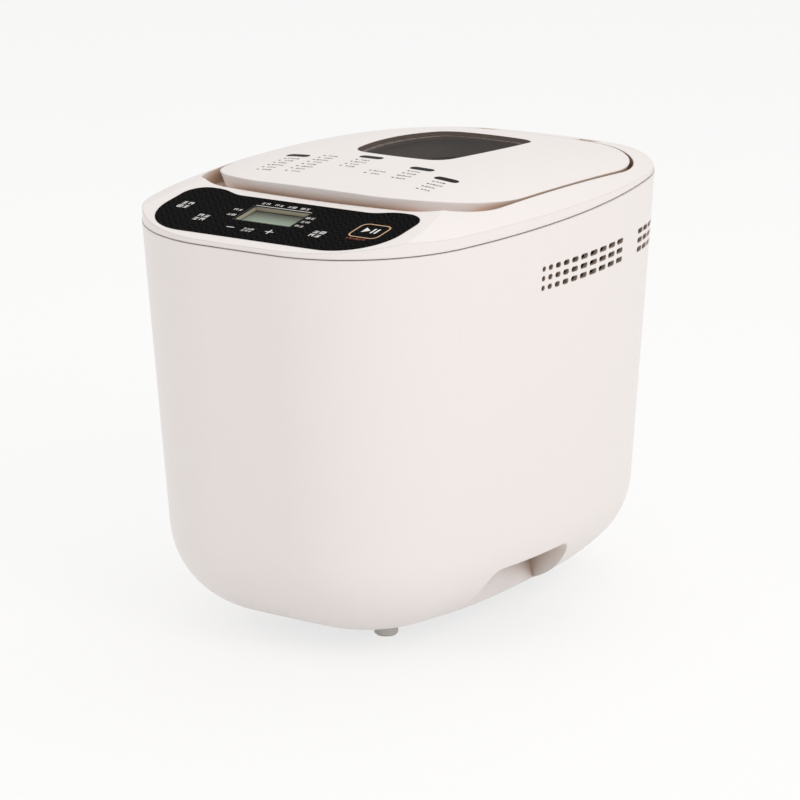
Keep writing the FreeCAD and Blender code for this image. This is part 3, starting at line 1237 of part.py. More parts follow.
# Chassis, belt drive and motor
def belt_loop(name, grow):
    """The belt's path round both pulleys, grown by grow, standing in the middle of their rims."""
    big = f"(pulley_diameter / 2 + ({grow}))"
    small = f"(motor_pulley_diameter / 2 + ({grow}))"
    span = value("oven_y - motor_y")
    lean = math.asin((value(big) - value(small)) / span)
    far = V(0, value("oven_y"), 0)
    near = V(0, value("motor_y"), 0)
    sketch = new_sketch(f"{name}_outline")
    start, finish = -lean, math.pi + lean
    sketch.addGeometry(Part.ArcOfCircle(Part.Circle(far, Z_AXIS, value(big)), start, finish))
    sketch.addGeometry(Part.ArcOfCircle(Part.Circle(near, Z_AXIS, value(small)), finish,
                                        start + 2 * math.pi))
    big_arc, small_arc = sketch.Geometry
    left = sketch.addGeometry(Part.LineSegment(big_arc.EndPoint, small_arc.StartPoint))
    right = sketch.addGeometry(Part.LineSegment(small_arc.EndPoint, big_arc.StartPoint))
    for first, second in ((0, left), (left, 1), (1, right), (right, 0)):
        tie("Tangent", first, 2, second, 1)
    hold("Radius", (0,), big)
    hold("Radius", (1,), small)
    pin_point(0, 3, "0", "oven_y")
    pin_point(1, 3, "0", "motor_y")
    settle(sketch)
    place(sketch, "0", "0", "pulley_base + (pulley_height - belt_width) / 2")
    return extrude(name, sketch, "belt_width")


def pulley(name, diameter, hub, bore, y):
    """A flanged pulley: rim groove as wide as the belt, thin web, hub."""
    flange_height = "((pulley_height - belt_width) / 2 - belt_gap)"
    lip = f"(({diameter}) / 2 + belt_thickness / 2)"
    rim = f"(({diameter}) / 2)"
    profile = [(f"({bore}) / 2", "0"), (lip, "0"), (lip, flange_height), (rim, flange_height),
               (rim, f"pulley_height - {flange_height}"), (lip, f"pulley_height - {flange_height}"),
               (lip, "pulley_height")]
    if hub:
        web = f"({rim} - 5)"
        profile += [(web, "pulley_height"), (web, "pulley_web"), (f"({hub}) / 2", "pulley_web"),
                    (f"({hub}) / 2", "pulley_height + 2"), (f"({bore}) / 2", "pulley_height + 2")]
    else:
        profile += [(f"({bore}) / 2", "pulley_height")]
    return turned(name, profile, "0", y, "pulley_base")


MOTOR_BASE = f"({CHASSIS_TOP} + mount_height)"
MOTOR_SPOTS = [("front", 90), ("right", -30), ("left", 210)]


def drive_unit():
    sheet_middle = "((chassis_rear - chassis_front) / 2)"
    blank = plate("chassis_blank", "chassis_width / 2", "(chassis_rear + chassis_front) / 2",
                  "chassis_corner",
                  "chassis_thickness", sheet_middle, "chassis_height")
    holes = [cylinder("chassis_shaft_hole", "drive_bearing_diameter", "20", "0", "oven_y",
                      "chassis_height - 10"),
             cylinder("chassis_motor_hole", "motor_hole", "20", "0", "motor_y", "chassis_height - 10")]
    holes += [screw_hole(f"chassis_hole_{tag}", "screw_length + chassis_thickness", x, y, CHASSIS_TOP)
              for tag, x, y in CHASSIS_POSTS]
    node("chassis_plate", cut("chassis_plate", blank, *holes))
    node("chassis_screws", group("chassis_screws", [
        screw(f"chassis_screw_{tag}", "screw_length + chassis_thickness", x, y, CHASSIS_TOP)
        for tag, x, y in CHASSIS_POSTS]))
    node("drive_pulley",
         pulley("drive_pulley", "pulley_diameter", "pulley_hub", "shaft_diameter", "oven_y"))
    node("motor_pulley",
         pulley("motor_pulley", "motor_pulley_diameter", None, "motor_shaft_diameter", "motor_y"))
    node("drive_belt", cut("drive_belt", belt_loop("belt_outside", "belt_gap + belt_thickness"),
                           belt_loop("belt_inside", "belt_gap")))
    mounts = []
    for tag, angle in MOTOR_SPOTS:
        mounts.append(cylinder(f"motor_mount_{tag}", "mount_diameter", "mount_height",
                               f"mount_spread / 2 * cos({angle})",
                               f"motor_y + mount_spread / 2 * sin({angle})", CHASSIS_TOP))
    node("motor_mounts", group("motor_mounts", mounts))
    shaft_bore = "(motor_shaft_diameter / 2 + running_clearance)"
    cap = "(motor_diameter / 2 - 6)"
    flange_top = f"({MOTOR_BASE} + motor_flange_thickness)"
    top = f"({MOTOR_BASE} + motor_height)"
    profile = [(shaft_bore, f"{MOTOR_BASE} - 4"), ("motor_hole / 2 - 2", f"{MOTOR_BASE} - 4"),
               ("motor_hole / 2 - 2", MOTOR_BASE),
               ("motor_flange / 2", MOTOR_BASE), ("motor_flange / 2", flange_top),
               ("motor_diameter / 2", flange_top),
               ("motor_diameter / 2", f"{top} - 8"), (cap, f"{top} - 8"), (cap, top), (shaft_bore, top)]
    node("motor_body", turned("motor_body", profile, "0", "motor_y"))
    node("motor_shaft", cylinder("motor_shaft", "motor_shaft_diameter", f"{top} + 3 - pulley_base + 2", "0",
                                 "motor_y",
                                 "pulley_base - 2"))
    node("motor_capacitor",
         box("motor_capacitor", "capacitor_width", "capacitor_length", "capacitor_height",
                                "chassis_width / 2 - capacitor_width / 2 - 1", "motor_y + 50", CHASSIS_TOP))
    gland_and_board()


def gland_and_board():
    card_x = f"(-({OVEN_X} + sheet + power_board_gap + power_board_width / 2))"
    card = box("power_card", "power_board_width", "power_board_length", "power_board_height", card_x,
               "power_board_y",
               "power_board_base")
    parts = [card]
    for tag, y in (("front", "-1"), ("rear", "1")):
        for level in ("0.15", "0.85"):
            parts.append(cylinder(f"board_stay_{tag}_{level[2:]}", "5", "power_board_gap",
                                  f"-({OVEN_X} + sheet + power_board_gap)",
                                  f"power_board_y + {y} * (power_board_length / 2 - 6)",
                                  f"power_board_base + power_board_height * {level}", Y_AXIS))
    relay = box("power_relay", "11", "16", "18", f"{card_x} - power_board_width / 2 - 5.5",
                "power_board_y + 14", "power_board_base + 6")
    sink = box("power_sink", "9", "14", "24", f"{card_x} - power_board_width / 2 - 4.5",
               "power_board_y - 14", "power_board_base + 12")
    node("power_board", fuse("power_board", *parts, relay, sink))
    node("cord_gland", cord_gland())


def rear_wall(height):
    """How far back the tub's rear face is at a height on the tapered wall."""
    return f"({HALF_DEPTH} - (parting_height - ({height})) * tan(side_draft))"


def cord_gland():
    """A ribbed bush that plugs the hole in the tub's rear wall."""
    face = rear_wall("gland_z + gland_diameter / 2 + 2")
    profile = [("gland_diameter / 4", "0"), ("gland_diameter / 2", "0"),
               ("gland_diameter / 2", "gland_length"),
               ("gland_diameter / 2 + 2", "gland_length"),
               ("gland_diameter / 2 + 2", "gland_length + gland_flange"),
               ("gland_diameter / 4", "gland_length + gland_flange")]
    bush = turned("gland_bush", profile, "gland_x", f"{face} - gland_length", "gland_z", X_AXIS, "-90")
    return bush


outer_housing()
bottom_pieces()
top_deck()
key_panel()
lid()
oven()
bread_pan()
drive_line()
drive_unit()
doc.recompute()

faults = [thing.Label for thing in doc.Objects if {"Invalid", "Error"} & set(thing.State)]
faults += [name for name, thing in NODES.items() if thing.Shape.isNull() or not thing.Shape.isValid()]
if faults:
    raise RuntimeError(f"these did not build: {faults}")

os.makedirs("parts", exist_ok=True)
for name, thing in NODES.items():
    thing.Shape.exportStep(f"parts/{name}.step")
print(f"{len(NODES)} pieces written")
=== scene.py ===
"""The looks of a compact bread machine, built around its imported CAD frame. Metres, Z up.

The printed marks are laid out in millimetres, on the sloping panel and on the crowned lid."""
import json
import math

import bpy
from mathutils import Matrix, Vector


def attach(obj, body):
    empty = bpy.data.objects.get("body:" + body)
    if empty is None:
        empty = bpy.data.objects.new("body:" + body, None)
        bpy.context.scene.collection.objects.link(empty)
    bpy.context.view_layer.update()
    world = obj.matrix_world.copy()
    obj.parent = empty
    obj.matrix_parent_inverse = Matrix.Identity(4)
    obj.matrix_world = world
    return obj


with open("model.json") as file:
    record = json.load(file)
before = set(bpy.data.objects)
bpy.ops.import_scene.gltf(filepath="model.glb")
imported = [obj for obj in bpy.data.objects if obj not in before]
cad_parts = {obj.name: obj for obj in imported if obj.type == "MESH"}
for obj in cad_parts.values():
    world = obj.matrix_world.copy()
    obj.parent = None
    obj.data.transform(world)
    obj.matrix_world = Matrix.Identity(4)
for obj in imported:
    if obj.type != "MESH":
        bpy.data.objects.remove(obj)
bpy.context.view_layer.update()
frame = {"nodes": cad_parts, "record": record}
NODES = frame["nodes"]
MM = 0.001

# Colours of the white shell, and of the shade painted into its hollows
SHELL_WHITE = (0.838, 0.793, 0.777)
DARK_PAINTED_SHADE = (0.012, 0.008, 0.006)
TAN_PAINTED_SHADE = (0.52, 0.42, 0.35)
TAN_SHADE_WARMTH = (1.0, 0.78, 0.62)

# Surface sizes in metres, and texture scales per metre
SHELL_EDGE = 0.0011
PLAIN_EDGE = 0.0003
GRAIN_HEIGHT = 0.0002
GRAIN_SCALE = 2600.0
GRAIN_STRENGTH = 0.025
SHELL_GLOSS_SCALE = 60.0
PLAIN_GLOSS_SCALE = 90.0
WEAVE_SCALE = 110
WEAVE_COLUMN_SCALE = 45
WEAVE_ANGLE = 45
EDGE_SAMPLES = 6
HOLLOW_SAMPLES = 8


# Materials
def new_material(name):
    """An empty node material; returns the material, its tree and the output node."""
    mat = bpy.data.materials.new(name)
    mat.use_nodes = True
    tree = mat.node_tree
    tree.nodes.clear()
    out = tree.nodes.new("ShaderNodeOutputMaterial")
    return mat, tree, out


def principled(tree, out, color, roughness, metallic=0.0, specular=0.5):
    """A principled shader, joined to the output."""
    shader = tree.nodes.new("ShaderNodeBsdfPrincipled")
    shader.inputs["Base Color"].default_value = (*color, 1)
    shader.inputs["Roughness"].default_value = roughness
    shader.inputs["Metallic"].default_value = metallic
    shader.inputs["Specular IOR Level"].default_value = specular
    tree.links.new(shader.outputs[0], out.inputs["Surface"])
    return shader


def coordinates(tree, scale, turn=0.0):
    """Object coordinates, scaled by three numbers and turned about Z by degrees."""
    where = tree.nodes.new("ShaderNodeTexCoord")
    mapping = tree.nodes.new("ShaderNodeMapping")
    mapping.inputs["Scale"].default_value = scale
    mapping.inputs["Rotation"].default_value = (0, 0, math.radians(turn))
    tree.links.new(where.outputs["Object"], mapping.inputs["Vector"])
    return mapping.outputs[0]


def noise(tree, scale, detail=3.0):
    """Soft random spots, from 0 to 1."""
    texture = tree.nodes.new("ShaderNodeTexNoise")
    texture.inputs["Scale"].default_value = 1.0
    texture.inputs["Detail"].default_value = detail
    tree.links.new(coordinates(tree, (scale, scale, scale)), texture.inputs["Vector"])
    return texture.outputs["Fac"]


def stripes(tree, scale, turn=0.0):
    """Soft bands across X, from 0 to 1."""
    wave = tree.nodes.new("ShaderNodeTexWave")
    wave.wave_type = "BANDS"
    wave.bands_direction = "X"
    wave.inputs["Scale"].default_value = 1.0
    tree.links.new(coordinates(tree, scale, turn), wave.inputs["Vector"])
    return wave.outputs["Fac"]


def spread(tree, source, low, high):
    """Map 0 to 1 onto low to high."""
    remap = tree.nodes.new("ShaderNodeMapRange")
    remap.inputs["To Min"].default_value = low
    remap.inputs["To Max"].default_value = high
    tree.links.new(source, remap.inputs["Value"])
    return remap.outputs[0]


def soft_edges(tree, shader, radius, grain=None):
    """Round the look of hard edges, with a fine grain over it if wanted."""
    bevel = tree.nodes.new("ShaderNodeBevel")
    bevel.samples = EDGE_SAMPLES
    bevel.inputs["Radius"].default_value = radius
    normal = bevel.outputs[0]
    if grain is not None:
        bump = tree.nodes.new("ShaderNodeBump")
        bump.inputs["Strength"].default_value = GRAIN_STRENGTH
        bump.inputs["Distance"].default_value = GRAIN_HEIGHT
        tree.links.new(grain, bump.inputs["Height"])
        tree.links.new(normal, bump.inputs["Normal"])
        normal = bump.outputs[0]
    tree.links.new(normal, shader.inputs["Normal"])


def painted_hollow_shade(tree, color, shade_colour, reach, levels, own):
    """The colour, going through tan to a painted shade colour inside slots and recesses."""
    shade = tree.nodes.new("ShaderNodeAmbientOcclusion")
    shade.samples = HOLLOW_SAMPLES
    shade.only_local = own
    shade.inputs["Distance"].default_value = reach
    ramp = tree.nodes.new("ShaderNodeValToRGB")
    low, middle, high = levels
    ramp.color_ramp.elements[0].position = low
    ramp.color_ramp.elements[0].color = (*shade_colour, 1)
    ramp.color_ramp.elements[1].position = high
    ramp.color_ramp.elements[1].color = (*color, 1)
    tan = ramp.color_ramp.elements.new(middle)
    tan.color = [(dark + pale) / 2 * warm for dark, pale, warm in zip(shade_colour, color, TAN_SHADE_WARMTH)] + [1]
    tree.links.new(shade.outputs["AO"], ramp.inputs["Fac"])
    return ramp.outputs["Color"]


def plain(name, color, roughness, metallic=0.0, specular=0.5, edge=PLAIN_EDGE):
    """A plain finish whose gloss wanders a little."""
    mat, tree, out = new_material(name)
    shader = principled(tree, out, color, roughness, metallic, specular)
    gloss = spread(tree, noise(tree, PLAIN_GLOSS_SCALE), roughness * 0.85, min(1.0, roughness * 1.15))
    tree.links.new(gloss, shader.inputs["Roughness"])
    soft_edges(tree, shader, edge)
    return mat


def ink(name, color, roughness):
    """A dull printing ink."""
    return plain(name, color, roughness, specular=0.03, edge=0.0)


def white_plastic(name, shade_colour, reach, levels, own):
    """Satin moulded plastic with a barely visible grain, and shade painted into its hollows."""
    mat, tree, out = new_material(name)
    shader = principled(tree, out, SHELL_WHITE, 0.34, specular=0.45)
    gloss = spread(tree, noise(tree, SHELL_GLOSS_SCALE), 0.30, 0.39)
    tree.links.new(gloss, shader.inputs["Roughness"])
    soft_edges(tree, shader, SHELL_EDGE, noise(tree, GRAIN_SCALE, 2.0))
    shade = painted_hollow_shade(tree, SHELL_WHITE, shade_colour, reach, levels, own)
    tree.links.new(shade, shader.inputs["Base Color"])
    return mat


def woven_film(name):
    """Black film printed with a faint herringbone: columns of stripes that lean to either side."""
    mat, tree, out = new_material(name)
    shader = principled(tree, out, (0.004, 0.004, 0.004), 0.25, specular=0.002)
    fine = (WEAVE_SCALE, WEAVE_SCALE, WEAVE_SCALE)
    choose = tree.nodes.new("ShaderNodeMath")
    choose.operation = "GREATER_THAN"
    choose.inputs[1].default_value = 0.5
    tree.links.new(stripes(tree, (WEAVE_COLUMN_SCALE, 1, 1)), choose.inputs[0])
    weave = tree.nodes.new("ShaderNodeMix")
    weave.data_type = "FLOAT"
    tree.links.new(choose.outputs[0], weave.inputs["Factor"])
    tree.links.new(stripes(tree, fine, WEAVE_ANGLE), weave.inputs["A"])
    tree.links.new(stripes(tree, fine, -WEAVE_ANGLE), weave.inputs["B"])
    colour = tree.nodes.new("ShaderNodeMix")
    colour.data_type = "RGBA"
    colour.inputs["A"].default_value = (0.0018, 0.0018, 0.0018, 1)
    colour.inputs["B"].default_value = (0.009, 0.0085, 0.0085, 1)
    tree.links.new(weave.outputs["Result"], colour.inputs["Factor"])
    tree.links.new(colour.outputs["Result"], shader.inputs["Base Color"])
    return mat


def smoked_glass(name, tint, roughness, shine):
    """A tinted clear pane with a glossy face; shine is the share of gloss."""
    mat, tree, out = new_material(name)
    clear = tree.nodes.new("ShaderNodeBsdfTransparent")
    clear.inputs["Color"].default_value = (*tint, 1)
    gloss = tree.nodes.new("ShaderNodeBsdfGlossy")
    gloss.inputs["Roughness"].default_value = roughness
    gloss.inputs["Color"].default_value = (0.95, 0.93, 0.92, 1)
    mix = tree.nodes.new("ShaderNodeMixShader")
    mix.inputs["Fac"].default_value = shine
    tree.links.new(clear.outputs[0], mix.inputs[1])
    tree.links.new(gloss.outputs[0], mix.inputs[2])
    tree.links.new(mix.outputs[0], out.inputs["Surface"])
    return mat


def display(name, front_y, rear_y):
    """A reflective display with painted light: lit grey-green in front, painted shade towards the rear, and a
    faint painted glow.
    """
    mat, tree, out = new_material(name)
    shader = principled(tree, out, (0.2, 0.22, 0.18), 0.35)
    where = tree.nodes.new("ShaderNodeTexCoord")
    split = tree.nodes.new("ShaderNodeSeparateXYZ")
    tree.links.new(where.outputs["Object"], split.inputs[0])
    remap = tree.nodes.new("ShaderNodeMapRange")
    remap.inputs["From Min"].default_value = front_y
    remap.inputs["From Max"].default_value = rear_y
    tree.links.new(split.outputs["Y"], remap.inputs["Value"])
    ramp = tree.nodes.new("ShaderNodeValToRGB")
    # Painted light and shade: the lit front colour and the shaded rear colour
    ramp.color_ramp.elements[0].color = (0.46, 0.55, 0.47, 1)
    ramp.color_ramp.elements[1].color = (0.045, 0.045, 0.040, 1)
    tree.links.new(remap.outputs[0], ramp.inputs["Fac"])
    tree.links.new(ramp.outputs["Color"], shader.inputs["Base Color"])
    # A faint painted glow in the same colours
    tree.links.new(ramp.outputs["Color"], shader.inputs["Emission Color"])
    shader.inputs["Emission Strength"].default_value = 0.10
    return mat


# Plain finishes by slot: colour, roughness, metallic share
PLAIN_FINISHES = {
    "circuit_board": ((0.03, 0.16, 0.06), 0.45, 0.0),
    "key_white": ((0.74, 0.72, 0.68), 0.4, 0.0),
    "switch_black": ((0.02, 0.02, 0.02), 0.4, 0.0),
    "seal_rubber": ((0.50, 0.45, 0.41), 0.6, 0.0),
    "liner_grey": ((0.52, 0.50, 0.48), 0.45, 0.0),
    "steel_screw": ((0.58, 0.57, 0.56), 0.28, 1.0),
    # The oven sheet is much darker than bare steel: painted shade, so the vents look dark inside
    "oven_sheet": ((0.10, 0.095, 0.09), 0.5, 0.6),
    "element_tube": ((0.24, 0.23, 0.22), 0.45, 1.0),
    "pan_coat": ((0.30, 0.285, 0.28), 0.34, 0.8),
    "chassis_steel": ((0.52, 0.53, 0.55), 0.4, 1.0),
    "drive_plastic": ((0.04, 0.04, 0.042), 0.5, 0.0),
    "belt_rubber": ((0.02, 0.02, 0.02), 0.75, 0.0),
    "motor_iron": ((0.20, 0.20, 0.21), 0.5, 1.0),
    "bearing_brass": ((0.62, 0.45, 0.20), 0.35, 1.0),
    "foot_white": ((0.74, 0.71, 0.68), 0.6, 0.0),
}
MATERIALS = {slot: plain(slot, *finish) for slot, finish in PLAIN_FINISHES.items()}
# The tub gets dark painted shade in its vents, hand notch and inside, from its own shape only
MATERIALS["white_shell"] = white_plastic("white_shell", DARK_PAINTED_SHADE, 0.03, (0.2, 0.5, 0.86), True)
MATERIALS["black_film"] = woven_film("black_film")
MATERIALS["lcd_lens"] = smoked_glass("lcd_lens", (0.95, 0.97, 0.94), 0.02, 0.03)
MATERIALS["lcd_glass"] = display("lcd_glass", -0.122, -0.100)
MATERIALS["smoked_glass"] = smoked_glass("smoked_glass", (0.62, 0.59, 0.58), 0.03, 0.05)
# The deck and the lid meet at close seams, so the shade painted into their hollows stays paler and tan, and
# counts the nearby parts too
TOP_WHITE = white_plastic("white_top", TAN_PAINTED_SHADE, 0.012, (0.12, 0.36, 0.62), False)
PRINT_WHITE = ink("print_white", (0.80, 0.79, 0.77), 0.5)
PRINT_DARK = ink("print_dark", (0.006, 0.005, 0.005), 0.4)
PRINT_GREY = ink("print_grey", (0.05, 0.045, 0.045), 0.5)
PRINT_GOLD = ink("print_gold", (0.62, 0.40, 0.25), 0.35)
PRINT_RED = ink("print_red", (0.42, 0.12, 0.08), 0.45)
PRINT_SILVER = ink("print_silver", (0.62, 0.61, 0.60), 0.4)

for entry in frame["record"]["subparts"]:
    mesh = NODES[entry["node"]].data
    mesh.materials.clear()
    mesh.materials.append(MATERIALS[entry["material_slot"]])
for name in ("top_deck", "lid_shell"):
    NODES[name].data.materials[0] = TOP_WHITE

# Smooth shading; the frame's own normals keep the hard edges
for thing in list(NODES.values()):
    mesh = thing.data
    mesh.polygons.foreach_set("use_smooth", [True] * len(mesh.polygons))
    mesh.update()

# Places on the panel and on the lid
PANEL_MIDDLE = Vector((0, -0.115, 0.23345))
PANEL_ANGLE = math.radians(10.8)
FILM_TOP = 0.2
CROWN_HEIGHT = 250.7
CROWN_MIDDLE = 10.0
CROWN_RADIUS = 1300.0
SHOULDER_START = 45.0
SHOULDER_RADIUS = 180.0
LONG_RADIUS = 760.0


def on_panel(x, y, z):
    """A point of the sloping panel, in millimetres along it, as a place in the scene."""
    turn = Matrix.Rotation(PANEL_ANGLE, 3, "X")
    return PANEL_MIDDLE + turn @ Vector((x, y, FILM_TOP + z)) * MM


def on_lid(x, y, z):
    """A point of the crowned lid above x, y, raised by z."""
    lean = math.asin(SHOULDER_START / CROWN_RADIUS)
    rise = LONG_RADIUS - CROWN_RADIUS
    if abs(x) <= SHOULDER_START:
        height = rise + math.sqrt(CROWN_RADIUS ** 2 - x * x)
    else:
        centre_x = SHOULDER_START - SHOULDER_RADIUS * math.sin(lean)
        centre_h = rise + (CROWN_RADIUS - SHOULDER_RADIUS) * math.cos(lean)
        height = centre_h + math.sqrt(SHOULDER_RADIUS ** 2 - (abs(x) - centre_x) ** 2)
    top = CROWN_HEIGHT - LONG_RADIUS + math.sqrt(height ** 2 - (y - CROWN_MIDDLE) ** 2)
    return Vector((x, y, top + z)) * MM


# Printed marks
PRINT_LIFT = 0.05
TOP_PRINT_LIFT = 0.06
CORNER_STEPS = 6
COLUMN_STEP = 1.5
STROKE_TAPER = 0.15
PILL_STEPS = 16


def finish_mesh(name, vertices, faces, body, mat):
    """Make a printed piece and let it ride on its body."""
    mesh = bpy.data.meshes.new(name)
    mesh.from_pydata(vertices, [], faces)
    mesh.update()
    mesh.materials.append(mat)
    thing = bpy.data.objects.new(name, mesh)
    bpy.context.scene.collection.objects.link(thing)
    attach(thing, body)


def print_mesh(name, shapes, surface, body, mat, lift=PRINT_LIFT):
    """Flat marks as one mesh lying on a surface; each shape is a run of columns (x, low y, high y)."""
    vertices, faces = [], []
    for columns in shapes:
        start = len(vertices)
        for x, low, high in columns:
            vertices += [surface(x, low, lift), surface(x, high, lift)]
        for step in range(len(columns) - 1):
            near = start + 2 * step
            faces.append((near, near + 2, near + 3, near + 1))
    finish_mesh(name, vertices, faces, body, mat)


def print_ring(name, outer, inner, surface, body, mat):
    """A printed frame between two outlines with the same number of points."""
    count = len(outer)
    vertices = [surface(x, y, PRINT_LIFT) for x, y in outer + inner]
    faces = []
    for index in range(count):
        ahead = (index + 1) % count
        faces.append((index, ahead, count + ahead, count + index))
    finish_mesh(name, vertices, faces, body, mat)


def rounded(x, y, width, height, radius):
    """Points of a rounded rectangle about x, y."""
    points = []
    for turn, across, along in ((0, 1, 1), (90, -1, 1), (180, -1, -1), (270, 1, -1)):
        for step in range(CORNER_STEPS + 1):
            angle = math.radians(turn + 90 * step / CORNER_STEPS)
            points.append((across * (width / 2 - radius) + radius * math.cos(angle) + x,
                           along * (height / 2 - radius) + radius * math.sin(angle) + y))
    return points


def column(x, y, along, half):
    """One column of a mark about x, y."""
    return (x + along, y - half, y + half)


def bar(x, y, width, height, taper=STROKE_TAPER):
    """A printed stroke with tapered ends, cut into columns so that it can follow a curved face."""
    columns = []
    steps = max(1, int(width / COLUMN_STEP))
    for step in range(steps + 1):
        along = -width / 2 + width * step / steps
        inside = max(0.0, abs(along) - (width / 2 - taper))
        half = height / 2 - taper + math.sqrt(max(0.0, taper ** 2 - inside ** 2))
        columns.append(column(x, y, along, half))
    return columns


def pill(x, y, width, height):
    """A badge with round ends."""
    columns = []
    radius = height / 2
    for step in range(PILL_STEPS + 1):
        along = -math.cos(math.pi * step / PILL_STEPS) * width / 2
        inside = max(0.0, abs(along) - (width / 2 - radius))
        half = math.sqrt(max(0.0, radius ** 2 - inside ** 2))
        columns.append(column(x, y, along, half))
    return columns


# Strokes of a generic mark, as shares of its size: heights of the level ones, places of the uprights
GLYPHS = (
    ((0.42, 0.0, -0.42), (0.0,)),
    ((0.42, 0.12), (-0.3, 0.3)),
    ((0.3, -0.1, -0.42), (0.1,)),
    ((0.42, -0.42), (-0.38, 0.0, 0.38)),
)
GLYPH_STROKE, GLYPH_WIDTH, GLYPH_HEIGHT, GLYPH_TAPER = 0.19, 0.92, 0.9, 0.3
GLYPH_PITCH, LINE_PITCH = 1.2, 1.35


def glyph(x, y, size, kind):
    """One generic mark of a caption: level strokes and uprights, in a few arrangements."""
    thin = size * GLYPH_STROKE
    taper = thin * GLYPH_TAPER
    levels, uprights = GLYPHS[kind % len(GLYPHS)]
    shapes = [bar(x, y + level * size, size * GLYPH_WIDTH, thin, taper) for level in levels]
    shapes += [bar(x + place * size, y, thin, size * GLYPH_HEIGHT, taper) for place in uprights]
    return shapes


def label(x, y, rows, across, size, first=0):
    """A small block of generic marks about x, y, beginning with the given kind."""
    shapes = []
    for row in range(rows):
        for place in range(across):
            shapes += glyph(x + (place - (across - 1) / 2) * size * GLYPH_PITCH,
                            y - (row - (rows - 1) / 2) * size * LINE_PITCH,
                            size, row * 3 + place + first)
    return shapes


# Marks on the panel, in millimetres from its middle
KEY_LABELS = ((-62.8, 3.5), (-42.7, -9.0), (32.7, -9.5))
KEY_MARK = 3.4
TIME_LABEL = (-7.1, -16.3)
TIME_MARK = 1.9
MINUS_X, MINUS_Y, MINUS_LENGTH = -18.6, -15.7, 5.2
PLUS_X, PLUS_Y, PLUS_LENGTH = 6.1, -15, 5.6
SIGN_STROKE = 0.75
UPPER_LABELS_X = (-20, -11.3, -3, 5.6)
UPPER_LABELS_Y = 18
SIDE_LABELS = ((-29.8, 6.3), (-29.2, -0.6), (16.3, 7.6), (16.7, 2.2), (16.8, -3.4))
DISPLAY_MARK = 2.5
START_X, START_Y = 57.6, 2.3
SIGN_Y = START_Y + 0.8
ARROW_BACK, ARROW_LENGTH, ARROW_HALF = 4.2, 4.0, 3.2
PAUSE_X, PAUSE_WIDTH, PAUSE_HEIGHT = (1.6, 4.0), 1.1, 6.2
CAPTION_MARKS, CAPTION_MARK = 6, 1.7
LCD_X, LCD_Y = -6.0, 4.3
LCD_EDGE_Y, LCD_EDGE_LENGTH, LCD_EDGE_STROKE = LCD_Y + 10.3, 36.4, 0.7

panel_marks = []
for number, (x, y) in enumerate(KEY_LABELS):
    panel_marks += label(x, y, 2, 2, KEY_MARK, number)
panel_marks += label(*TIME_LABEL, 2, 3, TIME_MARK, 1)
panel_marks.append(bar(MINUS_X, MINUS_Y, MINUS_LENGTH, SIGN_STROKE))
panel_marks.append(bar(PLUS_X, PLUS_Y, PLUS_LENGTH, SIGN_STROKE))
panel_marks.append(bar(PLUS_X, PLUS_Y, SIGN_STROKE, PLUS_LENGTH))
for number, x in enumerate(UPPER_LABELS_X):
    panel_marks += label(x, UPPER_LABELS_Y, 1, 2, DISPLAY_MARK, number)
for number, (x, y) in enumerate(SIDE_LABELS):
    panel_marks += label(x, y, 1, 2, DISPLAY_MARK, number + 1)
print_mesh("panel_print", panel_marks, on_panel, "machine", PRINT_WHITE)

print_ring("start_ring", rounded(START_X, START_Y, 18.4, 17.9, 4.2), rounded(START_X, START_Y, 16.8, 16.3, 3.5),
           on_panel, "machine", PRINT_GOLD)
arrow = [(START_X - ARROW_BACK, SIGN_Y - ARROW_HALF, SIGN_Y + ARROW_HALF),
         (START_X - ARROW_BACK + ARROW_LENGTH, SIGN_Y, SIGN_Y)]
pause = [bar(START_X + x, SIGN_Y, PAUSE_WIDTH, PAUSE_HEIGHT) for x in PAUSE_X]
print_mesh("start_print", [arrow] + pause, on_panel, "machine", PRINT_WHITE)
start_caption = label(START_X - 1.5, START_Y - 11.2, 1, CAPTION_MARKS, CAPTION_MARK)
print_mesh("start_caption", start_caption, on_panel, "machine", PRINT_RED)

print_ring("display_frame", rounded(LCD_X, LCD_Y, 37.8, 21.2, 0.8), rounded(LCD_X, LCD_Y, 36.4, 19.8, 0.4),
           on_panel, "machine", PRINT_GREY)
display_edge = [bar(LCD_X, LCD_EDGE_Y, LCD_EDGE_LENGTH, LCD_EDGE_STROKE)]
print_mesh("display_edge", display_edge, on_panel, "machine", PRINT_SILVER, TOP_PRINT_LIFT)

# Marks on the lid, in millimetres
PILLS = ((-49.9, -28.4), (-8.7, -17.5), (31.0, -26.8), (53.7, -37.2))
PILL_WIDTH, PILL_HEIGHT = 15, 5.2
# Columns of small lines: x, y of the first line, number of lines, width
LINE_COLUMNS = ((-48, -36, 6, 7), (-30, -24, 8, 7.5), (-8, -25, 4, 7), (13.5, -42, 2, 8), (31, -33.5, 4, 5),
                (54, -44, 4, 5))
ROW_PITCH = 5.0
ROW_MARK = 1.7
BULLET_GAP, BULLET_WIDTH, BULLET_HEIGHT = 1.6, 1.3, 1.5
LINE_SHIFT, LINE_STAGGER = 0.4, 0.5

lid_pills = [pill(x, y, PILL_WIDTH, PILL_HEIGHT) for x, y in PILLS]
print_mesh("lid_pills", lid_pills, on_lid, "lid", PRINT_DARK, TOP_PRINT_LIFT)
lid_rows = []
for number, (x, top, count, width) in enumerate(LINE_COLUMNS):
    for row in range(count):
        y = top - ROW_PITCH * row
        marks = 3 if (row + number) % 3 else 4
        lid_rows.append(bar(x - width / 2 - BULLET_GAP, y, BULLET_WIDTH, BULLET_HEIGHT))
        lid_rows += label(x + LINE_SHIFT + LINE_STAGGER * (row % 2), y, 1, marks, ROW_MARK, row + number)
print_mesh("lid_rows", lid_rows, on_lid, "lid", PRINT_GREY, TOP_PRINT_LIFT)

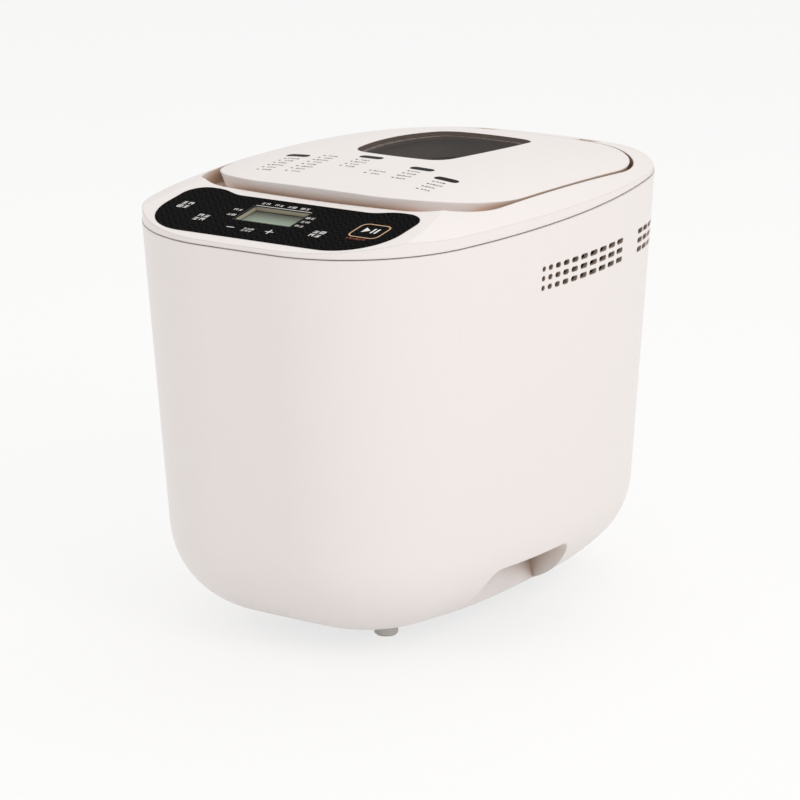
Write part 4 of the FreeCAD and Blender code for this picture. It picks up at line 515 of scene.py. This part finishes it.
# Stage
WARM_WHITE = (1.0, 0.985, 0.97)
WORLD_LIGHT = 0.80
FLOOR_HALF = 4
FLOOR_WHITE = (0.92, 0.915, 0.91)
# Share of plain white in the floor where it is seen, the rest keeps the shadow
FLOOR_LIFT = 0.72

world = bpy.data.worlds.new("studio")
bpy.context.scene.world = world
world.use_nodes = True
tree = world.node_tree
tree.nodes.clear()
world_out = tree.nodes.new("ShaderNodeOutputWorld")
glow = tree.nodes.new("ShaderNodeBackground")
glow.inputs["Color"].default_value = (*WARM_WHITE, 1)
glow.inputs["Strength"].default_value = WORLD_LIGHT
screen = tree.nodes.new("ShaderNodeBackground")
screen.inputs["Color"].default_value = (1, 1, 1, 1)
screen.inputs["Strength"].default_value = 1.0
path = tree.nodes.new("ShaderNodeLightPath")
pick = tree.nodes.new("ShaderNodeMixShader")
tree.links.new(path.outputs["Is Camera Ray"], pick.inputs["Fac"])
tree.links.new(glow.outputs[0], pick.inputs[1])
tree.links.new(screen.outputs[0], pick.inputs[2])
tree.links.new(pick.outputs[0], world_out.inputs["Surface"])


def area_light(name, place, target, size, power, color):
    """A round soft lamp that faces the target."""
    lamp = bpy.data.lights.new(name, "AREA")
    lamp.shape = "DISK"
    lamp.size = size
    lamp.energy = power
    lamp.color = color
    thing = bpy.data.objects.new(name, lamp)
    thing.location = place
    thing.rotation_euler = (Vector(target) - Vector(place)).to_track_quat("-Z", "Y").to_euler()
    bpy.context.scene.collection.objects.link(thing)


area_light("key", (1.7, -0.5, 1.3), (0, 0, 0.12), 1.3, 10, WARM_WHITE)
area_light("fill", (-0.7, -2.0, 1.0), (0, 0, 0.12), 1.6, 1.5, (1.0, 0.96, 0.945))
area_light("top", (-0.1, 0.6, 1.7), (0, 0, 0.2), 1.2, 4, (1, 1, 1))

floor_mesh = bpy.data.meshes.new("floor")
floor_corners = [(x * FLOOR_HALF, y * FLOOR_HALF, 0) for x, y in ((-1, -1), (1, -1), (1, 1), (-1, 1))]
floor_mesh.from_pydata(floor_corners, [], [(0, 1, 2, 3)])
floor = bpy.data.objects.new("floor", floor_mesh)
bpy.context.scene.collection.objects.link(floor)
floor_mat, tree, floor_out = new_material("floor_white")
floor_shader = principled(tree, floor_out, FLOOR_WHITE, 0.6, specular=0.2)
white = tree.nodes.new("ShaderNodeEmission")
path = tree.nodes.new("ShaderNodeLightPath")
seen = path.outputs["Is Camera Ray"]
for ray in ("Is Glossy Ray", "Is Transmission Ray"):
    either = tree.nodes.new("ShaderNodeMath")
    either.operation = "MAXIMUM"
    tree.links.new(seen, either.inputs[0])
    tree.links.new(path.outputs[ray], either.inputs[1])
    seen = either.outputs[0]
mix = tree.nodes.new("ShaderNodeMixShader")
tree.links.new(spread(tree, seen, 0.0, FLOOR_LIFT), mix.inputs["Fac"])
tree.links.new(floor_shader.outputs[0], mix.inputs[1])
tree.links.new(white.outputs[0], mix.inputs[2])
tree.links.new(mix.outputs[0], floor_out.inputs["Surface"])
floor_mat.cycles.emission_sampling = "NONE"
floor_mesh.materials.append(floor_mat)

# Camera
CAMERA_PLACE = (1.0641, -1.5262, 0.6050)
CAMERA_LOOK = (-0.55398, 0.79211, -0.25626)
CAMERA_ROLL = -0.0071
CAMERA_LENS = 156.4
PICTURE_SIZE = 800

lens = bpy.data.cameras.new("camera")
lens.lens = CAMERA_LENS
lens.sensor_width = 36
lens.clip_end = 20
camera = bpy.data.objects.new("camera", lens)
look = Vector(CAMERA_LOOK).normalized()
level = look.cross(Vector((0, 0, 1))).normalized()
right = level * math.cos(CAMERA_ROLL) + level.cross(look) * math.sin(CAMERA_ROLL)
up = right.cross(look)
turn = Matrix((right, up, -look)).transposed()
camera.matrix_world = Matrix.Translation(CAMERA_PLACE) @ turn.to_4x4()
scene = bpy.context.scene
scene.collection.objects.link(camera)
scene.camera = camera
scene.render.resolution_x = PICTURE_SIZE
scene.render.resolution_y = PICTURE_SIZE
scene.view_settings.view_transform = "Standard"
